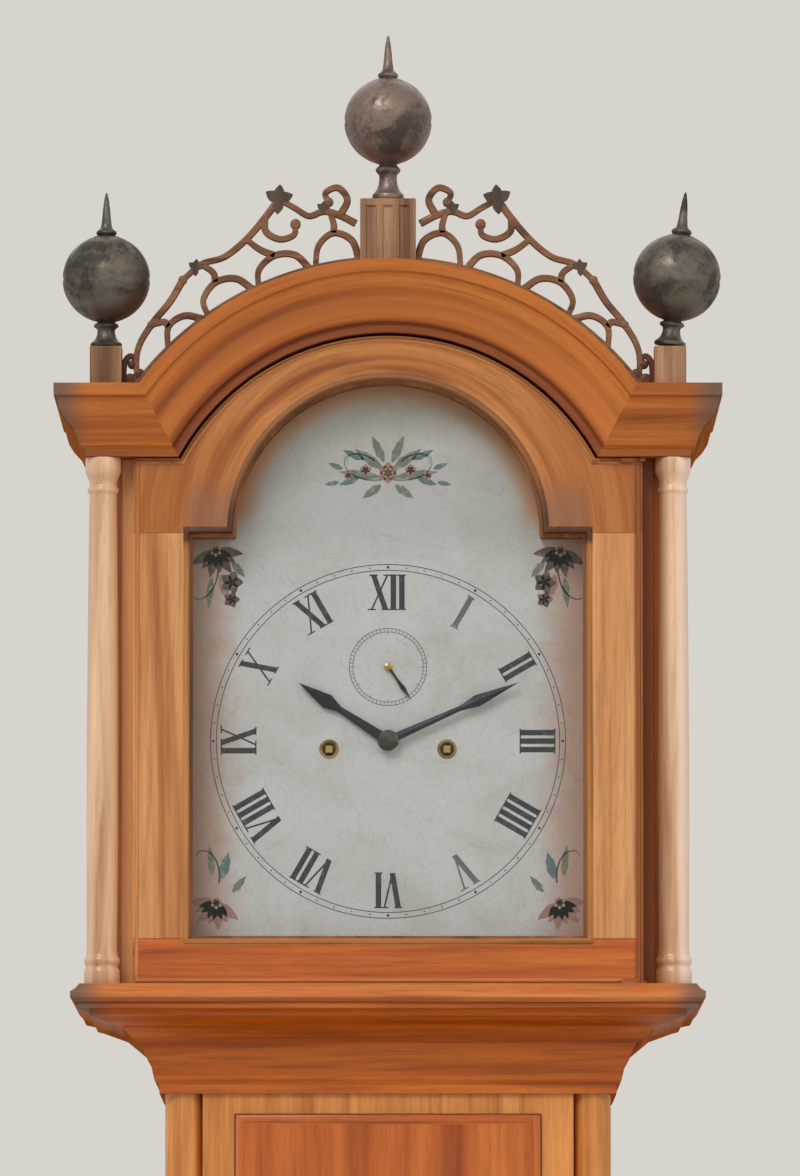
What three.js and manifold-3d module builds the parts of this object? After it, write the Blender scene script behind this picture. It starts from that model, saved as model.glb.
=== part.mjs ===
// A tall case clock with a break-arch hood, pierced frets, three ball finials and an eight-day movement.
// Lengths are millimetres. The floor is z = 0, the front is -Y, and the wall is at the back, +Y.
import * as THREE from 'three';
import { mergeVertices } from 'three/addons/utils/BufferGeometryUtils.js';
import Module from 'manifold-3d';

const wasm = await Module();
wasm.setup();

// Clearances
const fit = 0.3;
const doorGap = 0.8;
const hoodDoorGap = 1;
const archGap = 2;
const overrun = 2;

// Case widths and depths
const boardThickness = 15;
const backThickness = 12;
const behindPendulum = 55.7;
const waistWidth = 335;
const baseStep = 40;
const cornerColumnRadius = 14;

// Case heights
const footHeight = 120;
const baseHeight = 425;
const baseMouldingHeight = 55;
const waistHeight = 941;
const throatHeight = 65;
const throatProjection = 64;

// Waist door
const waistStile = 23.9;
const waistBottomRail = 51.4;
const waistDoorThickness = 18;
const waistDoorProud = 3;
const waistTopRail = 15;
const hingeInset = 120;
const hingeKnuckleRadius = 3.5;
const hingeKnuckleLength = 18;
const latchInset = 14;
const latchRise = 540;
const latchSpindleRadius = 3.5;
const latchKnobRadius = 9;
const latchKnobLength = 20;
const latchTongueThickness = 3;
const latchTongueLength = 24;

// Feet and the moulding above them
const footLength = 105;
const footReturn = 85;
const footThickness = 18;
const footProud = 5;
const plinthMouldingHeight = 25;
const plinthMouldingProjection = 10;

// Hood
const hoodOverhang = 33;
const hoodBoardThickness = 12;
const hoodPostHeight = 411;
const hoodBaseThickness = 14;
const hoodBaseProud = 5.5;
const runnerGap = 2.5;
const corniceHeight = 53;
const corniceProjection = 50;
const archInset = 21.5;
const corniceArcRise = 85;
const roofThickness = 8;
const maskThickness = 16;
const maskReveal = 1.5;

// Hood door and glass
const hoodDoorInset = 9.5;
const hoodDoorThickness = 18;
const doorBottomRail = 35;
const hoodStile = 42;
const shoulderRail = 56.2;
const archRail = 32.5;
const glassThickness = 2;
const pivotForward = 2;
const pivotRadius = 1.5;
const pivotLength = 5;
const pivotPlateThickness = 2.5;
const pivotPlateLength = 16;
const pivotPlateWidth = 3;

// Colonettes, plinths, finials and frets
const colonetteRadius = 13.5;
const crestForward = 17;
const sidePlinthInset = 38.5;
const sidePlinthWidth = 24;
const sidePlinthHeight = 30;
const centrePlinthWidth = 42;
const centrePlinthTop = 48;
const ballRadius = 33;
const sideStemHeight = 20;
const centreStemHeight = 28;
const spireHeight = 34;
const sideFinialLean = 6;
const fretThickness = 6;
const fretHeight = 62;
const fretStrip = 5;
const fretLeafRadius = 8;
const endTaperShare = 0.25;

// Dial and hands
const dialCentreRise = 200;
const dialThickness = 1.6;
const dialLap = 3.5;
const dialMargin = 5;
const dialFootRadius = 3;
const handThickness = 1.2;
const minuteHandLength = 108;
const hourHandLength = 80;
const secondsHandLength = 29;
const minuteHandAngle = 66;
const hourHandAngle = 303;
const secondsHandAngle = 145;
const minuteEyeRadius = 6;
const hourEyeRadius = 7.5;
const secondsEyeRadius = 2.6;
const secondsHandForward = 2.2;
const hourHandForward = 4;
const minuteHandForward = 7;
const pipeGap = 1.5;

// Movement frame
const plateWidth = 136;
const plateThickness = 3;
const plateBelowCentre = 108;
const plateAboveAnchor = 14;
const dialToPlate = 34.4;
const pillarRadius = 4;
const pillarInset = 14;
const seatboardThickness = 16;
const seatboardLap = 14.5;
const cockWidth = 18;
const cockRise = 3;

// Movement train: arbor places are measured from the centre of the hands
const windingSpread = 44.4;
const windingDrop = 6;
const thirdOffset = 9.2;
const anchorDistanceShare = 1.4348;
const arborRadius = 1.8;
const fineArborRadius = 1.5;
const barrelArborRadius = 4;
const barrelRadius = 22;
const barrelFlange = 3;
const barrelLength = 21;
const barrelBehindPlate = 11.2;
const centreWheelBehindPlate = 3.2;
const wheelThickness = 1.6;
const greatWheelThickness = 3;
const trainModule = 0.9;
const rimWidth = 3;
const hubWidth = 3;
const spokeWidth = 3;
const thirdWheelBehindGreat = 7.2;
const escapeWheelBehindThird = 8;
const escapeWheelToPlate = 6;
const minuteWheelForward = 3.2;
const hourWheelForward = 10.3;
const minuteWheelTilt = Math.PI / 4;
const cannonPipeRadius = 3.5;
const hourPipeRadius = 5.2;
const escapeWheelClearance = 3.85;

// Teeth
const greatTeeth = 96;
const centrePinionLeaves = 8;
const centreTeeth = 60;
const thirdPinionLeaves = 8;
const thirdTeeth = 56;
const escapePinionLeaves = 7;
const escapeTeeth = 30;
const cannonTeeth = 36;
const minuteTeeth = 36;
const minutePinionLeaves = 6;
const hourTeeth = 72;
const strikeTeeth = 78;
const addendumShare = 0.6;
const dedendumShare = 1.2;
const squareShare = 0.65;

// Pendulum, anchor, bell and hammer
const pendulumClearance = 3.5;
const pendulumLength = 994;
const rodRadius = 3;
const bobRadius = 57.5;
const bobThickness = 22;
const suspensionLength = 30;
const suspensionWidth = 8;
const suspensionThickness = 0.8;
const ratingNutDrop = 18;
const crutchDrop = 120;
const crutchGap = 6;
const bellRadius = 40;
const bellHeight = 28;
const bellWall = 2.5;
const bellAbovePlates = 25;
const bellOffset = 20;
const bellBehindPlate = 32.7;
const hammerInset = 12;
const hammerRise = 70;
const hammerGap = 2;
const hammerHeadRadius = 5;
const hammerHeadLength = 12;

// Weights, pulleys and lines
const lineRadius = 0.9;
const lineHoleRadius = 4;
const pulleyGrooveRadius = 17.5;
const pulleyFlange = 2.5;
const pulleyWidth = 7;
const weightRadius = 30;
const weightLength = 175;
const weightFloorGap = 150;
const weightClearance = 8;
const strapThickness = 2;
const strapWidth = 10;
const axleRadius = 2;
const hookHeight = 24;

// Distances behind the cornice's front, through the movement to the wall
const dialDepth = corniceProjection + maskThickness + fit;
const frontPlateDepth = dialDepth + dialThickness + dialToPlate;
const barrelDepth = frontPlateDepth + plateThickness + barrelBehindPlate;
const greatWheelDepth = barrelDepth + barrelLength + 2 * fit;
const thirdWheelDepth = greatWheelDepth + greatWheelThickness + thirdWheelBehindGreat;
const escapeWheelDepth = thirdWheelDepth + escapeWheelBehindThird;
const backPlateDepth = escapeWheelDepth + escapeWheelToPlate;
const pendulumDepth = backPlateDepth + plateThickness + seatboardLap + pendulumClearance + rodRadius;
const caseDepth = pendulumDepth + behindPendulum + backThickness;
const wallY = caseDepth / 2;

// Planes of the movement
const dialFrontY = dialDepth - wallY;
const frontPlateY = frontPlateDepth - wallY;
const plateInner = frontPlateY + plateThickness;
const barrelFrontY = barrelDepth - wallY;
const barrelRearY = barrelFrontY + barrelLength;
const lineY = barrelFrontY + barrelLength / 2;
const greatWheelY = greatWheelDepth - wallY;
const thirdWheelY = thirdWheelDepth - wallY;
const escapeWheelY = escapeWheelDepth - wallY;
const backPlateY = backPlateDepth - wallY;
const backPlateRear = backPlateY + plateThickness;
const pendulumY = pendulumDepth - wallY;
const minuteWheelY = frontPlateY - minuteWheelForward;
const hourWheelY = frontPlateY - hourWheelForward;
const secondsHandY = dialFrontY - secondsHandForward;
const hourHandY = dialFrontY - hourHandForward;
const minuteHandY = dialFrontY - minuteHandForward;
const seatboardFrontY = frontPlateY - seatboardLap;
const seatboardRearY = backPlateRear + seatboardLap;

// Levels and faces of the case
const baseTop = footHeight + baseHeight;
const sideBoardBottom = baseTop - boardThickness;
const waistBottom = baseTop + baseMouldingHeight;
const waistTop = waistBottom + waistHeight;
const throatTop = waistTop + throatHeight;
const hoodBaseTop = throatTop + hoodBaseThickness;
const soffit = throatTop + hoodPostHeight;
const corniceTop = soffit + corniceHeight;
const waistHalf = waistWidth / 2;
const waistFrontY = lineY - weightRadius - weightClearance - waistDoorThickness + waistDoorProud;
const baseHalf = waistHalf + baseStep;
const baseFrontY = waistFrontY - baseStep;
const cornerX = waistHalf - cornerColumnRadius;
const frameHalf = cornerX - cornerColumnRadius - fit;

// Waist door
const doorTop = waistTop - waistTopRail - doorGap;
const doorBottom = waistBottom + waistBottomRail + doorGap;
const doorHalf = frameHalf - waistStile - doorGap;
const waistDoorFrontY = waistFrontY - waistDoorProud;
const waistDoorRearY = waistDoorFrontY + waistDoorThickness;
const waistHingeX = doorHalf + doorGap / 2;
const waistHingeY = waistDoorFrontY - hingeKnuckleRadius - fit;
const waistHingeZs = [doorBottom + hingeInset, doorTop - hingeInset];
const latchX = latchInset - doorHalf;
const latchZ = doorBottom + latchRise;

// Hood, its door and what stands on it
const hoodHalf = waistHalf + hoodOverhang;
const hoodFrontY = corniceProjection - wallY;
const arcCentreZ = soffit - corniceArcRise;
const corniceArcRadius = hoodHalf - archInset;
const corniceOuterRadius = corniceArcRadius + corniceHeight;
const maskHalf = hoodHalf - hoodBoardThickness - 2 * fit;
const hoodInnerTop = corniceTop - roofThickness;
const roofInnerRadius = corniceOuterRadius - roofThickness;
const hoodDoorHalf = hoodHalf - hoodDoorInset;
const hoodDoorRearY = hoodFrontY - hoodDoorGap;
const hoodDoorFrontY = hoodDoorRearY - hoodDoorThickness;
const pivotX = hoodDoorHalf;
const pivotY = hoodDoorFrontY - pivotForward;
const crestY = hoodFrontY - crestForward;
const sideFinialX = hoodHalf + corniceProjection - sidePlinthInset;
const centrePlinthZ = arcCentreZ + corniceOuterRadius + centrePlinthTop;
const openingBottom = hoodBaseTop + doorBottomRail;
const openingHalf = hoodDoorHalf - hoodStile;
const openingArchZ = soffit - doorGap - shoulderRail;
const openingArchRadius = arcCentreZ + corniceArcRadius - archGap - archRail - openingArchZ;

// Arbors of the movement
const centreZ = throatTop + dialCentreRise;
const windingZ = centreZ - windingDrop;
const thirdReach = (trainModule * (centreTeeth + thirdPinionLeaves)) / 2;
const escapeReach = (trainModule * (thirdTeeth + escapePinionLeaves)) / 2;
const thirdZ = centreZ + Math.sqrt(thirdReach ** 2 - thirdOffset ** 2);
const escapeZ = thirdZ + Math.sqrt(escapeReach ** 2 - thirdOffset ** 2);
const escapeWheelRadius = escapeReach - fineArborRadius - escapeWheelClearance;
const anchorZ = escapeZ + anchorDistanceShare * escapeWheelRadius;
const plateBottom = centreZ - plateBelowCentre;
const plateTop = anchorZ + plateAboveAnchor;
const pillarX = plateWidth / 2 - pillarInset;
const pillarLevels = [plateBottom + pillarInset, plateTop - pillarInset];
const seatboardTop = plateBottom - fit;
const seatboardBottom = seatboardTop - seatboardThickness;

// Bell, hammer and the run of the lines
const bellX = -bellOffset;
const bellY = frontPlateY + bellBehindPlate;
const bellZ = plateTop + bellAbovePlates;
const hammerX = hammerInset - plateWidth / 2;
const hammerZ = centreZ + hammerRise;
const hammerHeadX = bellX - bellRadius - hammerGap - hammerHeadLength / 2;
const hammerHeadZ = bellZ + hammerHeadRadius;
const pulleyRadius = pulleyGrooveRadius + pulleyFlange;
const pulleyReach = pulleyGrooveRadius + lineRadius + fit;
const barrelReach = barrelRadius + lineRadius + fit;
const pulleyZ = weightFloorGap + weightLength + hookHeight + pulleyRadius + axleRadius;

// Facets round a full turn
const fineFacets = 24;
const coarseFacets = 12;
const colonetteFacets = 12;
const finialFacets = 16;
const finePivotFacets = 6;
const rimSteps = 3;
const mediumFacets = 16;
const lineFacets = 6;
const archFacets = 96;
const ballSteps = 8;
const lensSteps = 8;
const ribbonSteps = 2;
const leafFacets = 4;
const ballPoleAngle = 0.3;

// The finished group and its helpers
const clock = new THREE.Group();
const hood = new THREE.Group();
clock.add(hood);

function material(colour, roughness, metalness) {
  return () => new THREE.MeshStandardMaterial({ color: colour, roughness, metalness });
}

const cherry = material(0xb5703c, 0.42, 0);
const darkCherry = material(0x8a4a22, 0.45, 0);
const paleMaple = material(0xd6a878, 0.4, 0);
const pine = material(0xb08a5c, 0.7, 0);
const agedBrass = material(0x6a6553, 0.5, 0.9);
const brass = material(0xb08d4c, 0.35, 0.9);
const steel = material(0x3a3c40, 0.4, 0.9);
const paintedIron = material(0xc9cbc2, 0.5, 0.1);
const windowGlass = material(0xdfe8e6, 0.05, 0);
const gut = material(0xa9855a, 0.7, 0);

function place(name, geometry, makeMaterial, parent = clock) {
  const mesh = new THREE.Mesh(geometry, makeMaterial());
  mesh.name = name;
  parent.add(mesh);
  return mesh;
}

function signedVolume(geometry) {
  const points = geometry.attributes.position;
  const index = geometry.index;
  const corners = [new THREE.Vector3(), new THREE.Vector3(), new THREE.Vector3()];
  let total = 0;
  for (let i = 0; i < index.count; i += 3) {
    corners.forEach((corner, k) => corner.fromBufferAttribute(points, index.getX(i + k)));
    total += corners[0].dot(corners[1].clone().cross(corners[2])) / 6;
  }
  return total;
}

// Merges the vertices and turns the faces outward where a profile ran the other way round
function closed(geometry) {
  const bare = geometry.clone();
  bare.deleteAttribute('normal');
  bare.deleteAttribute('uv');
  const merged = mergeVertices(bare);
  if (signedVolume(merged) < 0) {
    const index = merged.index.array;
    for (let i = 0; i < index.length; i += 3) {
      [index[i + 1], index[i + 2]] = [index[i + 2], index[i + 1]];
    }
  }
  merged.computeVertexNormals();
  return merged;
}

function toSolid(geometry) {
  const merged = closed(geometry);
  const vertProperties = new Float32Array(merged.attributes.position.array);
  const triVerts = new Uint32Array(merged.index.array);
  return new wasm.Manifold(new wasm.Mesh({ numProp: 3, vertProperties, triVerts }));
}

function fromSolid(solid) {
  const mesh = solid.getMesh();
  const geometry = new THREE.BufferGeometry();
  geometry.setAttribute('position', new THREE.BufferAttribute(new Float32Array(mesh.vertProperties), 3));
  geometry.setIndex(new THREE.BufferAttribute(new Uint32Array(mesh.triVerts), 1));
  geometry.computeVertexNormals();
  return geometry;
}

function joined(...geometries) {
  return fromSolid(geometries.map(toSolid).reduce((sum, solid) => sum.add(solid)));
}

function cut(geometry, ...tools) {
  return fromSolid(tools.map(toSolid).reduce((rest, tool) => rest.subtract(tool), toSolid(geometry)));
}

function block(x0, x1, y0, y1, z0, z1) {
  const geometry = new THREE.BoxGeometry(x1 - x0, y1 - y0, z1 - z0);
  return geometry.translate((x0 + x1) / 2, (y0 + y1) / 2, (z0 + z1) / 2);
}

function shapeOf(points) {
  return new THREE.Shape(points.map(([x, y]) => new THREE.Vector2(x, y)));
}

function rectangle(x0, x1, z0, z1) {
  return [[x0, z0], [x1, z0], [x1, z1], [x0, z1]];
}

function pathOf(points) {
  return new THREE.Path(points.map(([x, z]) => new THREE.Vector2(x, z)));
}

function extruded(shape, depth, facets = fineFacets) {
  return new THREE.ExtrudeGeometry(shape, { depth, bevelEnabled: false, curveSegments: facets });
}

// A shape drawn in x and z, run from y0 back to y1
function alongY(shape, y0, y1, facets = fineFacets) {
  return closed(extruded(shape, y1 - y0, facets).rotateX(Math.PI / 2).translate(0, y1, 0));
}

// A shape drawn in y and z, run from x0 to x1
function alongX(shape, x0, x1) {
  const turn = new THREE.Matrix4().makeBasis(
    new THREE.Vector3(0, 1, 0),
    new THREE.Vector3(0, 0, 1),
    new THREE.Vector3(1, 0, 0),
  );
  return closed(extruded(shape, x1 - x0).applyMatrix4(turn).translate(x0, 0, 0));
}

// A profile of [radius, height] pairs, turned about the vertical axis
function turned(profile, facets = fineFacets) {
  const points = profile.map(([radius, height]) => new THREE.Vector2(radius, height));
  return closed(new THREE.LatheGeometry(points, facets).rotateX(Math.PI / 2));
}

// A rod or disc along Y at x, z
function rodY(radius, y0, y1, x, z, facets = coarseFacets) {
  const geometry = new THREE.CylinderGeometry(radius, radius, y1 - y0, facets);
  return closed(geometry.translate(x, (y0 + y1) / 2, z));
}

function rodX(radius, x0, x1, y, z, facets = coarseFacets) {
  const geometry = new THREE.CylinderGeometry(radius, radius, x1 - x0, facets);
  return closed(geometry.rotateZ(Math.PI / 2).translate((x0 + x1) / 2, y, z));
}

function rodZ(radius, z0, z1, x, y, facets = coarseFacets) {
  const geometry = new THREE.CylinderGeometry(radius, radius, z1 - z0, facets);
  return closed(geometry.rotateX(Math.PI / 2).translate(x, y, (z0 + z1) / 2));
}

function circle(radius, x, z, facets = coarseFacets) {
  const points = [];
  for (let i = 0; i < facets; i += 1) {
    const angle = (i / facets) * 2 * Math.PI;
    points.push(new THREE.Vector2(x + radius * Math.cos(angle), z + radius * Math.sin(angle)));
  }
  return new THREE.Path(points);
}

// Joins rings of the same outline, one for each station, into one closed body with capped ends
function swept(profile, stations) {
  const ring = profile.length;
  const positions = [];
  stations.forEach((station) => profile.forEach(([out, up]) => positions.push(...station(out, up))));
  const index = [];
  for (let s = 0; s + 1 < stations.length; s += 1) {
    for (let i = 0; i < ring; i += 1) {
      const next = (i + 1) % ring;
      const a = s * ring + i;
      const b = s * ring + next;
      index.push(a, b, b + ring, a, b + ring, a + ring);
    }
  }
  const outline = profile.map(([out, up]) => new THREE.Vector2(out, up));
  const last = (stations.length - 1) * ring;
  THREE.ShapeUtils.triangulateShape(outline, []).forEach(([a, b, c]) => {
    index.push(c, b, a, last + a, last + b, last + c);
  });
  const geometry = new THREE.BufferGeometry();
  geometry.setAttribute('position', new THREE.Float32BufferAttribute(positions, 3));
  geometry.setIndex(index);
  return closed(geometry);
}

// A moulding that runs along one side, mitres round the front and returns along the other side
function threeSided(profile, halfWidth, frontY) {
  return swept(profile, [
    (out, up) => [-halfWidth - out, wallY, up],
    (out, up) => [-halfWidth - out, frontY - out, up],
    (out, up) => [halfWidth + out, frontY - out, up],
    (out, up) => [halfWidth + out, wallY, up],
  ]);
}

// Turns a table of shares into a moulding profile of [out, up] sizes
function profileFrom(shares, projection, bottom, height) {
  return shares.map(([outShare, upShare]) => [outShare * projection, bottom + upShare * height]);
}

// The angle above level at which the hood's arch springs from a shoulder
function springAngle(radius, shoulder) {
  return Math.asin((shoulder - arcCentreZ) / radius);
}

// The hood's section: straight sides, level shoulders and a round arch over them
function hoodSection(halfWidth, bottom, shoulder, arcRadius) {
  const spring = springAngle(arcRadius, shoulder);
  const shape = new THREE.Shape();
  shape.moveTo(-halfWidth, bottom);
  shape.lineTo(halfWidth, bottom);
  shape.lineTo(halfWidth, shoulder);
  shape.lineTo(arcRadius * Math.cos(spring), shoulder);
  shape.absarc(0, arcCentreZ, arcRadius, spring, Math.PI - spring, false);
  shape.lineTo(-halfWidth, shoulder);
  return shape;
}

// The dial's opening: a square with level shoulders and a half-round arch
function openingOutline(inset, Kind) {
  const half = openingHalf - inset;
  const radius = openingArchRadius - inset;
  const shoulder = openingArchZ - inset;
  const spring = Math.asin(-inset / radius);
  const path = new Kind();
  path.moveTo(-half, openingBottom + inset);
  path.lineTo(half, openingBottom + inset);
  path.lineTo(half, shoulder);
  path.absarc(0, openingArchZ, radius, spring, Math.PI - spring, false);
  path.lineTo(-half, shoulder);
  return path;
}

// Case: feet

const footOutlineShares = [
  [0, 0], [0.34, 0], [0.38, 0.12], [0.36, 0.3], [0.42, 0.5], [0.58, 0.64], [0.78, 0.7], [0.9, 0.8],
  [1, 0.84], [1, 1], [0, 1],
];

function bracketFoot(side, end) {
  const outerX = baseHalf + footProud;
  const outerY = end < 0 ? baseFrontY - footProud : wallY;
  const faceShape = shapeOf(footOutlineShares.map(([along, up]) => [
    side * (outerX - along * footLength),
    up * footHeight,
  ]));
  const sideShape = shapeOf(footOutlineShares.map(([along, up]) => [
    outerY - end * along * footReturn,
    up * footHeight,
  ]));
  const faceY = [outerY, outerY - end * footThickness].sort((a, b) => a - b);
  const sideX = [side * outerX, side * (outerX - footThickness)].sort((a, b) => a - b);
  return joined(alongY(faceShape, ...faceY), alongX(sideShape, ...sideX));
}

const sides = [['left', -1], ['right', 1]];
const ends = [['front', -1], ['rear', 1]];

for (const [endName, end] of ends) {
  for (const [sideName, side] of sides) {
    place(`foot_${endName}_${sideName}`, bracketFoot(side, end), cherry);
  }
}

// Outlines in shares of each piece's own width and height

const plinthMouldingShares = [
  [0, 0], [1, 0], [1, 0.45], [0.8, 0.6], [0.45, 0.7], [0.35, 0.9], [0.25, 1], [0, 1],
];
const baseMouldingShares = [
  [0, 0], [1, 0], [1, 0.14], [0.86, 0.24], [0.56, 0.34], [0.34, 0.52], [0.24, 0.74], [0.14, 0.8],
  [0.14, 1], [0, 1],
];
const hoodBaseShares = [[0, 0], [0.95, 0], [1, 0.25], [1, 0.55], [0.94, 0.75], [0.9, 1], [0, 1]];
const latchKnobShares = [
  [0, 0], [0.9, 0], [0.9, 0.08], [0.45, 0.15], [0.4, 0.4], [0.8, 0.55], [1, 0.75], [0.8, 0.95], [0, 1],
];
const handOutlineShares = [
  [-0.55, 0], [-0.3, 0.55], [-0.75, 0.68], [0, 1], [0.75, 0.68], [0.3, 0.55], [0.55, 0],
];
const bellShares = [[1, 0], [0.97, 0.2], [0.85, 0.55], [0.6, 0.85], [0.3, 0.97], [0, 1]];
const anchorShares = [
  [0, 0.26], [0.61, 0], [1.09, -0.565], [1.04, -0.83], [0.88, -0.78], [0.826, -0.565], [0.43, -0.22],
  [0, -0.13],
];
const weightShares = [
  [0, 0], [0.75, 0], [0.95, 0.02], [1, 0.05], [1, 0.95], [0.95, 0.98], [0.3, 1], [0, 1],
];
const throatShares = [
  [0, 0], [0.06, 0], [0.06, 0.1], [0.12, 0.16], [0.16, 0.34], [0.28, 0.56], [0.5, 0.74], [0.78, 0.84],
  [0.86, 0.86], [0.86, 0.91], [1, 0.94], [1, 1], [0, 1],
];

// Case: base box and its mouldings

function buildBase() {
  const inner = baseHalf - boardThickness;
  place('base_front', block(-baseHalf, baseHalf, baseFrontY, baseFrontY + boardThickness,
    footHeight + fit, baseTop), cherry);
  for (const [sideName, side] of sides) {
    const [x0, x1] = side < 0 ? [-baseHalf, -inner] : [inner, baseHalf];
    place(`base_side_${sideName}`, block(x0, x1, baseFrontY + boardThickness + fit, wallY,
      footHeight + fit, baseTop), cherry);
  }
  const lower = profileFrom(plinthMouldingShares, plinthMouldingProjection, footHeight + fit,
    plinthMouldingHeight);
  place('plinth_moulding', threeSided(lower, baseHalf + fit, baseFrontY - fit), darkCherry);
  const upper = profileFrom(baseMouldingShares, baseStep + footProud, baseTop + fit, baseMouldingHeight);
  place('base_moulding', threeSided(upper, waistHalf + fit, waistFrontY - fit), darkCherry);
}

// Case: waist

function buildWaist() {
  const cheekFrontY = waistFrontY + cornerColumnRadius;
  const inner = waistHalf - boardThickness;
  for (const [sideName, side] of sides) {
    const [x0, x1] = [side * waistHalf, side * inner].sort((a, b) => a - b);
    const board = block(x0, x1, cheekFrontY, wallY, sideBoardBottom, throatTop);
    const cheek = block(x0, x1, cheekFrontY, wallY - backThickness - fit, throatTop - overrun,
      seatboardBottom - fit);
    const column = rodZ(cornerColumnRadius, baseTop + fit, throatTop, side * cornerX, cheekFrontY,
      fineFacets);
    place(`waist_side_${sideName}`, joined(board, cheek, column), cherry);
  }
}

// A hinge knuckle with the leaf that carries it, on the side that side names
function knuckle(side, z0, z1, rootY) {
  const leafEdges = [waistHingeX + side * doorGap / 2, waistHingeX + side * hingeKnuckleRadius];
  const [x0, x1] = leafEdges.sort((a, b) => a - b);
  return [rodZ(hingeKnuckleRadius, z0, z1, waistHingeX, waistHingeY),
    block(x0, x1, waistHingeY, rootY, z0, z1)];
}

function buildWaistDoor() {
  const half = doorHalf + doorGap;
  const frameShape = shapeOf(rectangle(-frameHalf, frameHalf, baseTop + fit, throatTop));
  frameShape.holes.push(pathOf(rectangle(-half, half, doorBottom - doorGap, doorTop + doorGap)));
  const frameKnuckles = waistHingeZs.flatMap((z) => [
    ...knuckle(1, z - hingeKnuckleLength - fit, z - fit, waistFrontY + overrun),
    ...knuckle(1, z + hingeKnuckleLength + fit, z + 2 * hingeKnuckleLength + fit, waistFrontY + overrun),
  ]);
  const frame = alongY(frameShape, waistFrontY, waistFrontY + boardThickness);
  place('waist_frame', joined(frame, ...frameKnuckles), cherry);

  const doorShape = shapeOf(rectangle(-doorHalf, doorHalf, doorBottom, doorTop));
  doorShape.holes.push(circle(latchSpindleRadius + fit, latchX, latchZ));
  const doorKnuckles = waistHingeZs.flatMap((z) => knuckle(-1, z, z + hingeKnuckleLength,
    waistDoorFrontY + overrun));
  const door = alongY(doorShape, waistDoorFrontY, waistDoorRearY);
  place('waist_door', joined(door, ...doorKnuckles), cherry);

  const knob = turned(latchKnobShares.map(([out, up]) => [out * latchKnobRadius, up * latchKnobLength]),
    coarseFacets);
  knob.rotateX(Math.PI / 2).translate(latchX, waistDoorFrontY - fit, latchZ);
  const spindle = rodY(latchSpindleRadius, waistDoorFrontY - latchKnobLength / 2,
    waistDoorRearY + fit + overrun, latchX, latchZ);
  const tongueFrontY = waistDoorRearY + fit;
  const tongue = block(latchX - latchSpindleRadius, latchX + latchSpindleRadius, tongueFrontY,
    tongueFrontY + latchTongueThickness, latchZ - latchSpindleRadius, latchZ + latchTongueLength);
  place('waist_door_latch', joined(knob, spindle, tongue), brass);
}

// Case: throat moulding, backboard and seatboard

function backboardOutline() {
  const baseInner = baseHalf - boardThickness - fit;
  const waistInner = waistHalf - boardThickness - fit;
  const shape = hoodSection(maskHalf, hoodBaseTop + fit, hoodInnerTop - fit, roofInnerRadius - fit);
  const lower = [
    [-maskHalf, hoodBaseTop + fit], [-waistInner, hoodBaseTop + fit], [-waistInner, sideBoardBottom - fit],
    [-baseInner, sideBoardBottom - fit], [-baseInner, footHeight + fit], [baseInner, footHeight + fit],
    [baseInner, sideBoardBottom - fit], [waistInner, sideBoardBottom - fit],
    [waistInner, hoodBaseTop + fit],
  ];
  const upper = shape.getPoints(fineFacets).slice(1).map(({ x, y }) => [x, y]);
  return shapeOf([...lower, ...upper]);
}

function buildCaseTop() {
  const throat = profileFrom(throatShares, throatProjection, waistTop, throatHeight);
  place('throat_moulding', threeSided(throat, waistHalf + fit, waistFrontY - fit), darkCherry);
  place('backboard', alongY(backboardOutline(), wallY - backThickness, wallY), pine);
  const plan = block(-waistHalf, waistHalf, seatboardFrontY, seatboardRearY, seatboardBottom,
    seatboardTop);
  const lineHoles = sides.map(([, side]) => (
    rodZ(lineHoleRadius, seatboardBottom - overrun, seatboardTop + overrun,
      side * windingSpread - barrelReach, lineY)
  ));
  place('seatboard', cut(plan, ...lineHoles), pine);
}

// Hood: boards

function buildHoodBoards() {
  const reach = throatProjection + hoodBaseProud - runnerGap;
  const runner = profileFrom(hoodBaseShares, reach, throatTop + fit, hoodBaseThickness);
  const baseFrame = threeSided(runner, waistHalf + runnerGap, waistFrontY - runnerGap);
  const lowerPivot = pivotHole(hoodBaseTop - pivotLength, hoodBaseTop + fit + overrun);
  place('hood_base_frame', cut(baseFrame, lowerPivot), darkCherry, hood);
  for (const [sideName, side] of sides) {
    const outer = hoodHalf - fit;
    const [x0, x1] = [side * outer, side * (outer - hoodBoardThickness)].sort((a, b) => a - b);
    place(`hood_side_${sideName}`, block(x0, x1, hoodFrontY, wallY, hoodBaseTop + 2 * fit,
      hoodInnerTop - fit), cherry, hood);
  }
  place('hood_roof', alongY(hoodRoofOutline(), hoodFrontY + fit, wallY), cherry, hood);
  const mask = hoodSection(maskHalf, hoodBaseTop + 2 * fit, hoodInnerTop - fit, roofInnerRadius - fit);
  mask.holes.push(openingOutline(maskReveal, THREE.Path));
  place('dial_mask', alongY(mask, hoodFrontY + fit, hoodFrontY + maskThickness), darkCherry, hood);
}

function hoodRoofOutline() {
  const half = hoodHalf - fit;
  const outer = springAngle(corniceOuterRadius, corniceTop);
  const inner = springAngle(roofInnerRadius, hoodInnerTop);
  const shape = new THREE.Shape();
  shape.moveTo(half, hoodInnerTop);
  shape.lineTo(half, corniceTop);
  shape.absarc(0, arcCentreZ, corniceOuterRadius, outer, Math.PI - outer, false);
  shape.lineTo(-half, corniceTop);
  shape.lineTo(-half, hoodInnerTop);
  shape.absarc(0, arcCentreZ, roofInnerRadius, Math.PI - inner, inner, true);
  return shape;
}

// Hood: the cornice returns along the sides, mitres at the corners and rises over the arch

const corniceShares = [
  [0, 0], [0.534, 0], [0.534, 0.1], [0.61, 0.15], [0.65, 0.26], [0.72, 0.4], [0.84, 0.52],
  [0.92, 0.64], [0.95, 0.8], [1, 0.83], [1, 1], [0, 1],
];

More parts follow.
